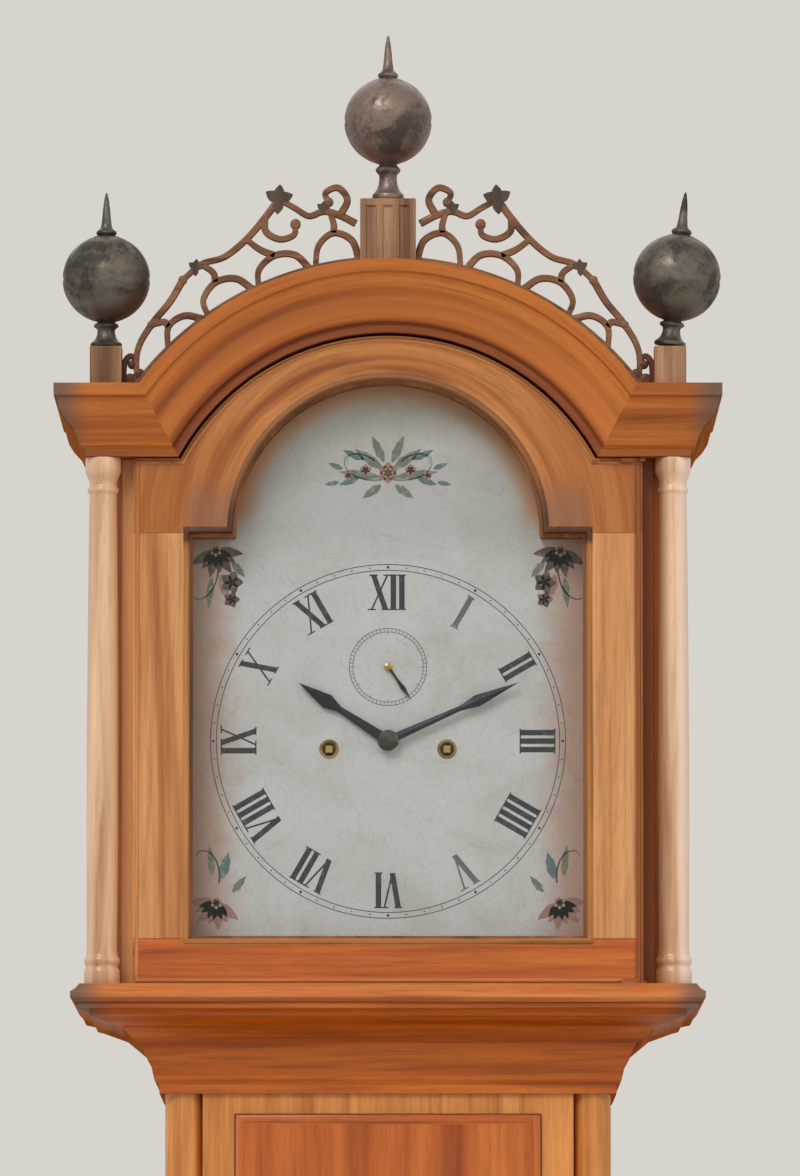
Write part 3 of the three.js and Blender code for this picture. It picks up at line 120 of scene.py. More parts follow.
FRAME_HEIGHT = 0.882
LOOK_AT = Vector((0.009, -0.1, 1.918))
CAMERA_DISTANCE = 8.0
CAMERA_RISE = math.radians(-5.5)


def make_camera():
    data = bpy.data.cameras.new("camera")
    camera = link("camera", data)
    away = Vector((0, -math.cos(CAMERA_RISE), math.sin(CAMERA_RISE)))
    camera.location = LOOK_AT + away * CAMERA_DISTANCE
    aim(camera, -away, "-Z")
    data.sensor_width = 36
    data.lens = data.sensor_width * CAMERA_DISTANCE / FRAME_HEIGHT
    data.clip_start = 0.1
    data.clip_end = 200
    bpy.context.scene.camera = camera


# Material graphs

def srgb(red, green, blue):
    def linear(value):
        share = value / 255
        return share / 12.92 if share <= 0.04045 else ((share + 0.055) / 1.055) ** 2.4
    return (linear(red), linear(green), linear(blue), 1)


def tones(pale, middle, dark):
    return (srgb(*pale), srgb(*middle), srgb(*dark))


def feed(tree, socket, value):
    if isinstance(value, bpy.types.NodeSocket):
        tree.links.new(value, socket)
    else:
        socket.default_value = value


def put(tree, kind, sockets, out=0, **settings):
    """Adds a node, feeds its sockets and gives back one of its outputs"""
    node = tree.nodes.new("ShaderNode" + kind)
    for key, value in settings.items():
        setattr(node, key, value)
    for key, value in sockets.items():
        feed(tree, node.inputs[key], value)
    return node.outputs[out] if len(node.outputs) else node


class Graph:
    """A material with a Principled shader, and short ways to add nodes to it"""

    def __init__(self, name):
        self.material = bpy.data.materials.new(name)
        self.material.use_nodes = True
        self.tree = self.material.node_tree
        self.shader = self.tree.nodes["Principled BSDF"]
        self.place = self.put("TexCoord", {}, "Object")
        self.x, self.y, self.z = self.put("SeparateXYZ", {0: self.place}).node.outputs

    def put(self, kind, sockets, out=0, **settings):
        return put(self.tree, kind, sockets, out, **settings)

    def mapped(self, vector, scale=(1, 1, 1), location=(0, 0, 0)):
        return self.put("Mapping", {"Vector": vector, "Scale": scale, "Location": location})

    def shifted(self, seed, steps=(1, 1, 1)):
        """The place moved along, so that two materials don't share a pattern"""
        return self.mapped(self.place, location=[seed * step for step in steps])

    def noise(self, vector, scale, detail=3.0, roughness=0.5, distortion=0.0):
        sockets = {"Scale": scale, "Detail": detail, "Roughness": roughness, "Distortion": distortion}
        return self.put("TexNoise", {"Vector": vector, **sockets})

    def math(self, operation, a, b=0.0, c=0.0):
        return self.put("Math", {0: a, 1: b, 2: c}, operation=operation)

    def times(self, product, *factors):
        for factor in factors:
            product = self.math("MULTIPLY", product, factor)
        return product

    def plus(self, a, b):
        return self.math("ADD", a, b)

    def minus(self, a, b):
        return self.math("SUBTRACT", a, b)

    def above(self, a, b):
        return self.math("GREATER_THAN", a, b)

    def below(self, a, b):
        return self.math("LESS_THAN", a, b)

    def wide(self):
        """Distance from the middle plane"""
        return self.math("ABSOLUTE", self.x)

    def radius(self, up):
        """Distance from an axis along Y, where up is the height over that axis"""
        return self.math("SQRT", self.plus(self.times(self.x, self.x), self.times(up, up)))

    def band(self, value, low, high):
        sockets = {"Value": value, "From Min": low, "From Max": high}
        return self.put("MapRange", sockets, interpolation_type="SMOOTHSTEP")

    def span(self, value, low, high):
        return self.put("MapRange", {"Value": value, "To Min": low, "To Max": high})

    def ramp(self, value, stops):
        colour = self.put("ValToRGB", {"Fac": value}, "Color")
        elements = colour.node.color_ramp.elements
        while len(elements) < len(stops):
            elements.new(0.5)
        for element, (place, tone) in zip(elements, stops):
            element.position = place
            element.color = tone
        return colour

    def mix(self, share, a, b, mode="MIX"):
        return self.put("Mix", {0: share, 6: a, 7: b}, 2, data_type="RGBA", blend_type=mode)

    def tint(self, colour, share, strength, tone):
        """The colour mixed towards a tone, by a share times a strength"""
        return self.mix(self.times(share, strength), colour, srgb(*tone))

    def join(self, x, y, z):
        return self.put("CombineXYZ", {0: x, 1: y, 2: z})

    def bump(self, height, distance, strength=0.5):
        return self.put("Bump", {"Height": height, "Distance": distance, "Strength": strength})

    def edges(self, radius, sharp):
        """1 along outer and inner edges of the mesh, 0 on flat faces"""
        rounded = self.put("Bevel", {"Radius": radius}, samples=3)
        flat = self.put("NewGeometry", {}, "Normal")
        dot = self.put("VectorMath", {0: rounded, 1: flat}, "Value", operation="DOT_PRODUCT")
        return self.band(self.minus(1.0, dot), 0.01, sharp)

    def finish(self, colour, roughness, sockets):
        """Feeds the shader: colour, roughness and any others by their own names"""
        for name, value in {"Base Color": colour, "Roughness": roughness, **sockets}.items():
            feed(self.tree, self.shader.inputs[name], value)
        return self.material


# Woods

ALONG_GRAIN = 0.045
STRETCH = {"X": (ALONG_GRAIN, 1, 1), "Y": (1, ALONG_GRAIN, 1), "Z": (1, 1, ALONG_GRAIN)}
ARCH_GRAIN = 0.2 * ALONG_GRAIN
WORN_EDGE = 0.0012
GRAIN_DEPTH = 0.00025
SIDE_EDGE_Y = -0.0762

# Where the cornice's arch meets its shoulders: its x at the soffit, and how far x moves out with height
SHOULDER_X = 0.1575
SHOULDER_SLOPE = 0.547

PALE = tones((220, 163, 108), (201, 138, 84), (160, 95, 46))
CHERRY = tones((199, 117, 46), (179, 96, 29), (136, 62, 12))
ARCHED = tones((206, 138, 78), (184, 114, 56), (144, 80, 32))
RED = tones((202, 112, 46), (182, 91, 32), (140, 60, 15))
DEEP = tones((206, 112, 32), (184, 90, 19), (136, 58, 5))
PEACH = tones((232, 192, 156), (216, 174, 136), (184, 132, 92))
WARM = tones((226, 152, 82), (208, 132, 62), (160, 90, 34))
PINE = tones((198, 150, 94), (172, 124, 72), (126, 84, 44))
BEAD_BROWN = tones((204, 144, 90), (180, 120, 66), (134, 84, 40))
HOOD_BASE = tones((214, 128, 66), (196, 108, 48), (150, 72, 26))
WAIST_LIT = tones((234, 164, 96), (220, 148, 78), (176, 108, 50))
WAIST_FRAME = tones((226, 152, 84), (208, 133, 65), (164, 95, 39))
PLINTH = tones((182, 140, 106), (156, 116, 84), (110, 76, 50))
MASK = tones((168, 104, 50), (142, 82, 32), (102, 54, 16))
FRET = tones((150, 106, 74), (122, 80, 52), (78, 46, 28))
# Darker tones for the fret's tail scroll, which also paint the shade beside the side plinth
FRET_TAIL = tones((112, 62, 32), (90, 42, 18), (58, 24, 10))
FRET_LEAF = tones((98, 80, 66), (72, 56, 46), (46, 36, 30))
# Lit and shaded copies for the corner strips behind the colonettes: painted light on the left, painted shade
# on the right
CORNER_LIT = tones((224, 158, 102), (198, 132, 82), (158, 98, 56))
CORNER_SHADED = tones((186, 94, 8), (160, 74, 0), (118, 50, 0))

# Tones of painted light and shade: shade on the returns, the door's rim, arch flanks and foot, under the
# cornice and on the beads; light in the cornice's cove
RETURN_SHADE = (98, 82, 70)
RIM_SHADE = (126, 62, 14)
ARCH_FLANK_SHADE = (150, 72, 18)
FOOT_SHADE = (132, 94, 74)
PAINTED_COVE_LIGHT = (222, 132, 62)
SOFFIT_SHADE = (104, 40, 8)
BEAD_SHADE = (92, 52, 24)
BEAD_RIGHT_SHADE = (118, 58, 14)
SHOULDER_SHADE = (56, 30, 18)


def grain(graph, run, wood_tones, seed, figure=34.0):
    """Colour, relief and streaks of varnished wood whose grain runs along an axis or a bent vector"""
    pale, middle, dark = wood_tones
    vector = graph.mapped(graph.place, STRETCH[run]) if isinstance(run, str) else run
    place = graph.mapped(vector, location=(seed * 0.731, seed * 0.417, seed * 0.269))
    broad = graph.noise(place, figure, 3.0, 0.55, 1.3)
    streak = graph.noise(place, figure * 7, 4.0, 0.62, 0.5)
    fine = graph.noise(place, figure * 28, 2.0, 0.6)
    pores = graph.noise(place, figure * 60, 1.0, 0.5)
    base = graph.ramp(broad, [(0.3, dark), (0.47, middle), (0.68, pale)])
    shades = [(0.28, (0.62, 0.56, 0.5, 1)), (0.5, (0.94, 0.92, 0.9, 1)), (0.7, (1.1, 1.1, 1.08, 1))]
    colour = graph.mix(0.85, base, graph.ramp(streak, shades), "MULTIPLY")
    fleck = graph.band(pores, 0.6, 0.72)
    colour = graph.mix(graph.times(fleck, 0.4), colour, dark)
    return colour, graph.plus(graph.times(fine, 0.6), graph.times(fleck, -0.5)), streak


def arched_run(graph, centre_z):
    """The place bent round an arch, so that the grain follows it"""
    up = graph.minus(graph.z, centre_z)
    angle = graph.math("ARCTAN2", graph.x, up)
    return graph.join(graph.times(angle, ARCH_GRAIN), graph.y, graph.radius(up))


def blend(graph, share, first, second):
    """Two grains in one: the second where the share is 1"""
    return [graph.mix(share, a, b) for a, b in zip(first, second)]


def finish_wood(graph, colour, relief, streak, wood_tones, rough=0.34, coat=0.16, worn=True):
    if worn:
        edge = graph.times(graph.edges(WORN_EDGE, 0.22), graph.band(streak, 0.35, 0.6))
        colour = graph.mix(graph.times(edge, 0.45), colour, wood_tones[0])
    spot = graph.noise(graph.place, 9, 3.0)
    roughness = graph.plus(graph.span(streak, rough - 0.08, rough + 0.1), graph.span(spot, -0.05, 0.06))
    slant = graph.put("LayerWeight", {"Blend": 0.5}, "Facing")
    gloss = graph.band(slant, 0.92, 0.55)
    return graph.finish(colour, roughness, {
        "Normal": graph.bump(relief, GRAIN_DEPTH, 0.35), "Specular IOR Level": graph.times(gloss, 0.32),
        "Coat Weight": graph.times(gloss, coat), "Coat Roughness": 0.2,
    })


def wood(name, wood_tones, axis, seed, rough=0.34, coat=0.16, figure=34.0, worn=True):
    graph = Graph(name)
    return finish_wood(graph, *grain(graph, axis, wood_tones, seed, figure), wood_tones, rough, coat, worn)


def door_wood():
    """Upright grain on the stiles, level grain on the bottom rail, and grain that follows the arch, with
    painted shade on the arch's flanks, at its foot and down the right edge
    """
    graph = Graph("hood_door_wood")
    wide = graph.wide()
    low = graph.below(graph.z, OPENING_BOTTOM)
    high = graph.above(graph.z, OPENING_ARCH_Z)
    straight = blend(graph, low, grain(graph, "Z", PALE, 3), grain(graph, "X", RED, 8))
    arch = grain(graph, arched_run(graph, OPENING_ARCH_Z), ARCHED, 5)
    colour, relief, streak = blend(graph, high, straight, arch)
    # Painted shade: the arch's flanks under the cornice, and its foot below the shoulders
    flank = graph.times(graph.band(wide, 0.09, 0.14), high)
    colour = graph.tint(colour, flank, 0.4, ARCH_FLANK_SHADE)
    foot = graph.times(graph.band(wide, 0.157, 0.143), graph.band(graph.z, 2.010, 1.978))
    foot = graph.times(foot, graph.times(graph.band(wide, 0.104, 0.112), high))
    colour = graph.tint(colour, foot, 0.6, FOOT_SHADE)
    # Painted shade down the door's right edge
    colour = graph.tint(colour, graph.band(graph.x, 0.1832, 0.1862), 0.75, RIM_SHADE)
    seam_low, seam_high = [
        graph.below(graph.math("ABSOLUTE", graph.minus(graph.z, height)), half)
        for height, half in ((OPENING_BOTTOM, 0.0004), (OPENING_ARCH_Z, 0.0003))
    ]
    seam = graph.math("MAXIMUM", seam_low, graph.times(seam_high, graph.above(wide, OPENING_HALF)))
    colour = graph.mix(graph.times(seam, 0.7), colour, DEEP[2])
    return finish_wood(graph, colour, relief, streak, PALE)


def shaded_returns(graph, colour, node, side):
    """Darkens a moulding along its returns and towards its front corners: painted shade"""
    low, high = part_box(node)
    end = graph.band(graph.wide(), high.x - 0.03, high.x - 0.004)
    corner = graph.band(graph.y, low.y + 0.05, low.y + 0.006)
    painted_shade = graph.times(end, graph.math("MAXIMUM", graph.minus(1.0, side), corner))
    colour = graph.tint(colour, painted_shade, 0.85, RETURN_SHADE)
    return graph.tint(colour, side, 0.32, RETURN_SHADE)


def moulding_wood(name, wood_tones, node, seed, rough=0.34):
    """Grain along the front of a case moulding, and back along its returns, which carry painted shade"""
    graph = Graph(name)
    front = grain(graph, "X", wood_tones, seed)
    back = grain(graph, "Y", wood_tones, seed + 3)
    side = graph.above(graph.plus(graph.wide(), graph.y), CASE_MITRE)
    colour, relief, streak = blend(graph, side, front, back)
    return finish_wood(graph, shaded_returns(graph, colour, node, side), relief, streak, wood_tones, rough)


def cornice_wood():
    """Grain that follows the arch, runs level over the shoulders and goes back along the returns; painted
    light in the cove, painted shade along the arch's inner edge, under the shoulders and on the returns
    """
    graph = Graph("cornice_wood")
    wide = graph.wide()
    arch = grain(graph, arched_run(graph, ARC_Z), CHERRY, 14)
    level = grain(graph, "X", CHERRY, 17)
    back = grain(graph, "Y", CHERRY, 19)
    mitre = graph.plus(graph.times(graph.minus(graph.z, SOFFIT), SHOULDER_SLOPE), SHOULDER_X)
    shoulder = graph.above(wide, mitre)
    side = graph.above(graph.plus(wide, graph.y), HOOD_MITRE)
    side = graph.times(side, graph.above(wide, HOOD_HALF))
    colour, relief, streak = blend(graph, side, blend(graph, shoulder, arch, level), back)
    # Painted light in the cove; painted shade along the inner edge of the arch and under the shoulders
    radius = graph.radius(graph.minus(graph.z, ARC_Z))
    over_arch = graph.minus(1.0, shoulder)
    cove = graph.times(graph.band(radius, 0.190, 0.194), graph.band(radius, 0.210, 0.203))
    colour = graph.tint(colour, graph.times(cove, over_arch), 0.5, PAINTED_COVE_LIGHT)
    inner = graph.times(graph.band(radius, 0.1905, 0.186), over_arch)
    low = graph.times(graph.band(graph.z, SOFFIT + 0.007, SOFFIT + 0.003), shoulder)
    painted_shade = graph.plus(graph.times(inner, 0.72), graph.times(low, 0.45))
    colour = graph.mix(painted_shade, colour, srgb(*SOFFIT_SHADE))
    return finish_wood(graph, shaded_returns(graph, colour, "cornice", side), relief, streak, CHERRY)


def hood_side_wood():
    """Upright grain; the front edge behind the colonette carries painted shade on the right and painted light
    on the left
    """
    graph = Graph("hood_side_wood")
    colour, relief, streak = grain(graph, "Z", WARM, 29)
    across = graph.band(graph.x, -0.1, 0.1)
    edge = graph.times(graph.below(graph.y, SIDE_EDGE_Y), graph.span(across, 0.6, 0.94))
    edge_light_and_shade = graph.mix(across, srgb(244, 188, 128), srgb(158, 74, 0))
    return finish_wood(graph, graph.mix(edge, colour, edge_light_and_shade), relief, streak, WARM)


def bead_wood(name, wood_tones, seed, bottom, spring, centre_z, dark):
    """Grain that runs along a bead: level at the bottom, upright at the sides and round the arch; painted
    shade below the shoulders and down the right edge
    """
    graph = Graph(name)
    upright = grain(graph, "Z", wood_tones, seed)
    level = grain(graph, "X", wood_tones, seed + 2)
    arch = grain(graph, arched_run(graph, centre_z), wood_tones, seed + 4)
    low = graph.below(graph.z, bottom)
    high = graph.above(graph.z, spring)
    colour, relief, streak = blend(graph, high, blend(graph, low, upright, level), arch)
    # Painted shade below the arch's shoulders and down the right edge, darkest at the shoulders themselves
    shade = graph.band(graph.z, OPENING_ARCH_Z - 0.017, OPENING_ARCH_Z - 0.003)
    colour = graph.tint(colour, shade, dark, BEAD_SHADE)
    colour = graph.tint(colour, graph.band(graph.x, 0.17, 0.18), 0.7, BEAD_RIGHT_SHADE)
    fading = graph.band(graph.z, OPENING_ARCH_Z + 0.05, OPENING_ARCH_Z + 0.006)
    shoulder = graph.times(graph.band(graph.z, OPENING_ARCH_Z - 0.009, OPENING_ARCH_Z - 0.005), fading)
    colour = graph.tint(colour, shoulder, 1.4 * dark, SHOULDER_SHADE)
    return finish_wood(graph, colour, relief, streak, wood_tones, 0.45, 0.0)


def waist_edge_wood():
    """Grain that runs along each side of the waist door's moulded edge"""
    graph = Graph("waist_edge_wood")
    rail = graph.below(graph.wide(), WAIST_DOOR_HALF - 0.007)
    edge = blend(graph, rail, grain(graph, "Z", RED, 99), grain(graph, "X", RED, 101))
    return finish_wood(graph, *edge, RED, 0.4)


def maple(side, flanks):
    """Pale turned wood whose flanks, from one x to another, fade into tones of painted light and shade"""
    graph = Graph(f"maple_turned_{side}")
    colour, relief, streak = grain(graph, "Z", PEACH, 75)
    for start, end, share, tone in flanks:
        colour = graph.tint(colour, graph.band(graph.x, start, end), share, tone)
    return finish_wood(graph, colour, relief, streak, PEACH, rough=0.3, coat=0.4)


# Metals, paint, glass and gut

def metal(name, bright, dull, rough=0.35, seed=0, scratch=0.3, patina=0.5, metallic=1.0):
    """Brass or steel with fine brushing, handling marks and a patina that gathers in patches"""
    graph = Graph(name)
    place = graph.shifted(seed, (1, 0.7, 1.3))
    patch = graph.noise(place, 42, 5.0, 0.6, 0.5)
    fleck = graph.noise(place, 420, 3.0, 0.6)
    brush = graph.noise(graph.mapped(place, (1, 1, 14)), 260, 2.0)
    patches = graph.plus(patch, graph.times(fleck, 0.25))
    share = graph.band(patches, 0.75 - patina * 0.4, 0.9 - patina * 0.2)
    colour = graph.mix(share, srgb(*bright), srgb(*dull))
    roughness = graph.plus(graph.span(fleck, rough - 0.06, rough + 0.1), graph.times(share, 0.18))
    height = graph.plus(graph.times(brush, scratch), graph.times(fleck, 0.4))
    return graph.finish(colour, roughness, {"Metallic": metallic, "Normal": graph.bump(height, 0.0001, 0.3)})


def painted_dial():
    """Old off-white paint with fine crackle and staining; grey and brown painted shade in the arch and round
    its rim, and rose-brown borders down the sides, partly painted shade
    """
    graph = Graph("painted_dial")
    cells = {"Vector": graph.place, "Scale": 130.0, "Randomness": 1.0}
    cracks = graph.put("TexVoronoi", cells, "Distance", feature="DISTANCE_TO_EDGE")
    crackle = graph.minus(1.0, graph.band(cracks, 0.0, 0.05))
    stain = graph.noise(graph.place, 18, 5.0, 0.62, 0.8)
    cloud = graph.noise(graph.place, 55, 3.0, 0.6)
    stops = [(0.3, srgb(194, 195, 189)), (0.5, srgb(206, 208, 205)), (0.7, srgb(213, 215, 215))]
    colour = graph.ramp(stain, stops)
    # Painted shade across the middle of the arch
    painted_arch_shade = graph.times(graph.band(graph.z, 1.935, 1.972), graph.band(graph.z, 2.034, 2.004))
    colour = graph.tint(colour, painted_arch_shade, 0.3, (158, 158, 152))
    # Rose-brown borders down the sides: partly painted decoration, partly painted shade cast by the opening's
    # sides
    side = graph.plus(graph.wide(), graph.times(graph.minus(cloud, 0.5), 0.024))
    border = graph.times(graph.band(side, 0.104, 0.14), graph.below(graph.z, OPENING_ARCH_Z + 0.01))
    colour = graph.tint(colour, border, 0.74, (182, 132, 102))
    # Painted shade over the upper arch, and brown painted shade round the arch's rim
    up = graph.math("MAXIMUM", graph.minus(graph.z, OPENING_ARCH_Z), 0.0)
    arch = graph.times(graph.band(graph.radius(up), 0.096, 0.113), graph.band(up, 0.0, 0.022))
    colour = graph.tint(colour, graph.band(graph.z, 1.985, 2.08), 0.5, (180, 166, 136))
    colour = graph.tint(colour, arch, 0.85, (190, 126, 62))
    colour = graph.tint(colour, crackle, 0.16, (120, 112, 96))
    height = graph.plus(graph.times(crackle, -0.6), graph.times(cloud, 0.3))
    return graph.finish(colour, graph.span(stain, 0.34, 0.5), {
        "Normal": graph.bump(height, 0.0001, 0.35), "Coat Weight": 0.2, "Coat Roughness": 0.25,
    })


def paint(name, colour, worn=0.35, seed=0):
    """Brushed paint that thins out in places"""
    graph = Graph(name)
    place = graph.shifted(seed)
    thin = graph.noise(place, 240, 3.0, 0.65)
    brush = graph.noise(place, 900, 2.0)
    share = graph.times(graph.band(thin, 0.5, 0.72), worn)
    mixed = graph.mix(share, srgb(*colour), srgb(198, 198, 188))
    return graph.finish(mixed, graph.span(thin, 0.4, 0.55), {"Normal": graph.bump(brush, 0.00005, 0.3)})


def window_glass():
    graph = Graph("window_glass")
    wave = graph.noise(graph.place, 7, 2.0, 0.5, 0.6)
    speck = graph.noise(graph.place, 300, 2.0)
    colour = graph.ramp(wave, [(0.3, srgb(92, 104, 98)), (0.7, srgb(112, 122, 116))])
    return graph.finish(colour, graph.span(speck, 0.03, 0.07), {
        "Alpha": 0.08, "Normal": graph.bump(wave, 0.002, 0.12),
    })


def gut_line():
    """A twisted line of slanting strands"""
    graph = Graph("gut_line")
    slant = graph.join(graph.x, graph.y, graph.plus(graph.z, graph.times(graph.x, 0.9)))
    waves = {"Vector": slant, "Scale": 150.0, "Distortion": 1.5, "Detail": 2.0}
    strands = graph.put("TexWave", waves, "Fac", bands_direction="Z")
    fuzz = graph.noise(graph.place, 900, 2.0)
    twist = graph.ramp(strands, [(0.2, srgb(112, 78, 44)), (0.8, srgb(184, 140, 88))])
    colour = graph.tint(twist, fuzz, 0.3, (90, 62, 36))
    return graph.finish(colour, graph.span(fuzz, 0.45, 0.65), {"Normal": graph.bump(strands, 0.0003, 0.6)})


AGED = metal("aged_brass", (112, 103, 91), (64, 60, 55), 0.42, 3, 0.2, 0.6, 0.75)
# A lighter copy of the aged brass for the centre finial: painted light
AGED_LIT = metal("aged_brass_centre", (136, 119, 108), (84, 74, 68), 0.42, 4, 0.2, 0.5, 0.75)
BRASS = metal("brass", (206, 168, 96), (146, 112, 58), 0.28, 5, 0.4, 0.3)
BRASS_FITTING = metal("brass_fitting", (190, 150, 82), (120, 92, 50), 0.33, 9, 0.3, 0.45)
BELL_METAL = metal("bell_metal", (196, 182, 148), (130, 116, 86), 0.25, 12, 0.2, 0.3)
BLUED_STEEL = metal("blued_steel", (52, 54, 60), (34, 32, 32), 0.34, 7, 0.3, 0.4)
POLISHED_STEEL = metal("polished_steel", (150, 152, 156), (96, 96, 98), 0.25, 8, 0.3, 0.3)
GUT = gut_line()

INK = paint("numeral_ink", (34, 40, 48), 0.12, 1)
INK_FAINT = paint("numeral_ink_faint", (104, 102, 100), 0.4, 2)
SPRAY_PAINTS = {
    "green": paint("leaf_paint", (112, 122, 104), 0.4, 3),
    "teal": paint("teal_paint", (92, 116, 118), 0.4, 4),
    "rose": paint("rose_paint", (164, 118, 108), 0.35, 5),
    "brown": paint("brown_paint", (92, 62, 52), 0.3, 6),
    "gold": paint("gold_paint", (168, 140, 92), 0.3, 7),
}

UPRIGHT_WARM = wood("cherry_upright_warm", WARM, "Z", 27)
# A paler copy of the upright cherry for the waist's left side: painted light
UPRIGHT_LIT = wood("cherry_upright_pale", WAIST_LIT, "Z", 31)
WAIST_FRAME_WOOD = wood("waist_frame_wood", WAIST_FRAME, "Z", 49)
LEVEL = wood("cherry_level", CHERRY, "X", 33)
LEVEL_BACK = wood("cherry_level_back", CHERRY, "Y", 37)
WAIST_WOOD = wood("waist_door_wood", RED, "Z", 44, figure=22.0)
WAIST_EDGE = waist_edge_wood()
BASE_MOULDING = moulding_wood("base_moulding_wood", DEEP, "plinth_moulding", 51)
THROAT_WOOD = moulding_wood("throat_wood", DEEP, "throat_moulding", 57, 0.44)
HOOD_BASE_WOOD = moulding_wood("hood_base_wood", HOOD_BASE, "hood_base_frame", 63)
PLINTH_WOOD = wood("plinth_wood", PLINTH, "Z", 67, rough=0.45)
MASK_WOOD = wood("mask_wood", MASK, "Z", 69, rough=0.45, coat=0.1)
PINE_BOARD = wood("pine_board", PINE, "Z", 81, rough=0.62, coat=0.0, figure=24.0, worn=False)
PINE_LEVEL = wood("pine_level", PINE, "X", 83, rough=0.62, coat=0.0, worn=False)
FRET_WOOD = wood("fret_wood", FRET, "X", 87, rough=0.4, figure=60.0)
TAIL_WOOD = wood("fret_tail_wood", FRET_TAIL, "X", 91, rough=0.42, figure=60.0)
LEAF_WOOD = wood("fret_leaf_wood", FRET_LEAF, "Z", 91, rough=0.4, figure=60.0)
# Painted light and shade on the colonettes: the left paler at both flanks, the right shaded towards the door,
# each with a painted highlight at its outer edge
MAPLE = {
    "left": maple("left", [(-0.212, -0.204, 0.6, (246, 190, 142)), (-0.217, -0.223, 0.5, (236, 200, 172))]),
    "right": maple("right", [(0.214, 0.2035, 0.72, (128, 74, 36)), (0.214, 0.221, 0.8, (248, 218, 200))]),
}
# The corner strips' woods: painted light on the left, painted shade on the right
CORNER_WOOD = {
    "left": wood("corner_strip_wood_left", CORNER_LIT, "Z", 98, rough=0.5),
    "right": wood("corner_strip_wood_right", CORNER_SHADED, "Z", 98, rough=0.5),
}
RED_BEAD = bead_wood(
    "bead_wood", BEAD_BROWN, 95, OPENING_BOTTOM + 0.0002, OPENING_ARCH_Z + 0.001, OPENING_ARCH_Z, 0.6,
)
PALE_BEAD = bead_wood("edge_bead_wood", ARCHED, 97, DOOR_BOTTOM + 0.008, SOFFIT - 0.002, ARC_Z, 0.0)


# The CAD nodes: their materials, rounded shading and softened edges

CAD_MATERIALS = by_name([
    (LEVEL, "foot_front_left foot_front_right"),
    (LEVEL_BACK, "foot_rear_left foot_rear_right hood_roof"),
    (WAIST_WOOD, "base_front waist_door"),
    (UPRIGHT_WARM, "base_side_left base_side_right waist_side_right"),
    (UPRIGHT_LIT, "waist_side_left"),
    (WAIST_FRAME_WOOD, "waist_frame"),
    (BASE_MOULDING, "plinth_moulding base_moulding"),
    (THROAT_WOOD, "throat_moulding"),
    (HOOD_BASE_WOOD, "hood_base_frame"),
    (PINE_BOARD, "backboard"),
    (PINE_LEVEL, "seatboard"),
    (hood_side_wood(), "hood_side_left hood_side_right"),
    (MASK_WOOD, "dial_mask"),
    (PLINTH_WOOD, "side_plinth_left side_plinth_right centre_plinth"),
    (cornice_wood(), "cornice"),
    (door_wood(), "hood_door_frame"),
    (window_glass(), "hood_door_glass"),
    (painted_dial(), "dial"),
    (BLUED_STEEL, "minute_hand hour_hand"),
    (POLISHED_STEEL, "bell_hammer anchor"),
    (BELL_METAL, "bell"),
    (BRASS_FITTING, "waist_door_latch going_weight strike_weight"),
    (BRASS, "front_plate back_plate minute_wheel great_wheel centre_wheel third_wheel escape_wheel pendulum"),
    (BRASS, "going_barrel strike_barrel strike_great_wheel going_pulley strike_pulley"),
])

# Widths of the bevels that a modifier puts on sharp edges
SOFT_EDGES = by_name([
    (0.001, "base_front base_side_left base_side_right"),
    (0.0008, "hood_side_left hood_side_right hood_door_frame"),
    (0.0007, "side_plinth_left side_plinth_right"),
    (0.0006, "seatboard"),
    (0.00025, "front_plate back_plate"),
])

# Angles in degrees up to which edges are shaded smooth: most nodes, and those with coarser round forms
SMOOTH_ANGLE = 32
ROUNDED = by_name([(62, "bell"), (50, "pendulum going_weight strike_weight going_pulley strike_pulley")])


def shade_round(mesh, limit):
    """Smooth shading below an angle; a CAD node's triangles share no vertices, so places are matched"""
    corners = []
    meeting = {}
    for polygon in mesh.polygons:
        polygon.use_smooth = True
        spots = [mesh.vertices[i].co for i in polygon.vertices]
        for i, spot in enumerate(spots):
            opening = (spots[i - 1] - spot).angle(spots[(i + 1) % len(spots)] - spot, 0.0)
            place = tuple(round(value, 6) for value in spot)
            meeting.setdefault(place, []).append((polygon.normal.copy(), opening))
            corners.append((place, polygon.normal.copy()))
    least = math.cos(math.radians(limit))
    normals = []
    for place, normal in corners:
        near = (other * opening for other, opening in meeting[place] if other.dot(normal) > least)
        total = sum(near, Vector())
        normals.append(total.normalized() if total.length > 0 else normal)
    mesh.normals_split_custom_set(normals)


def soften_edges(node, width):
    weld = node.modifiers.new("joined_faces", "WELD")
    weld.merge_threshold = 1e-6
    bevel = node.modifiers.new("soft_edges", "BEVEL")
    bevel.width = width
    bevel.segments = 2
    bevel.limit_method = "ANGLE"
    bevel.angle_limit = math.radians(40)
    shading = node.modifiers.new("shading", "WEIGHTED_NORMAL")
    shading.keep_sharp = False


def dress_cad():
    for name, material in CAD_MATERIALS.items():
        node = NODES[name]
        node.data.materials.clear()
        node.data.materials.append(material)
        shade_round(node.data, ROUNDED.get(name, SMOOTH_ANGLE))
        if name in SOFT_EDGES:
            soften_edges(node, SOFT_EDGES[name])


# Mesh helpers

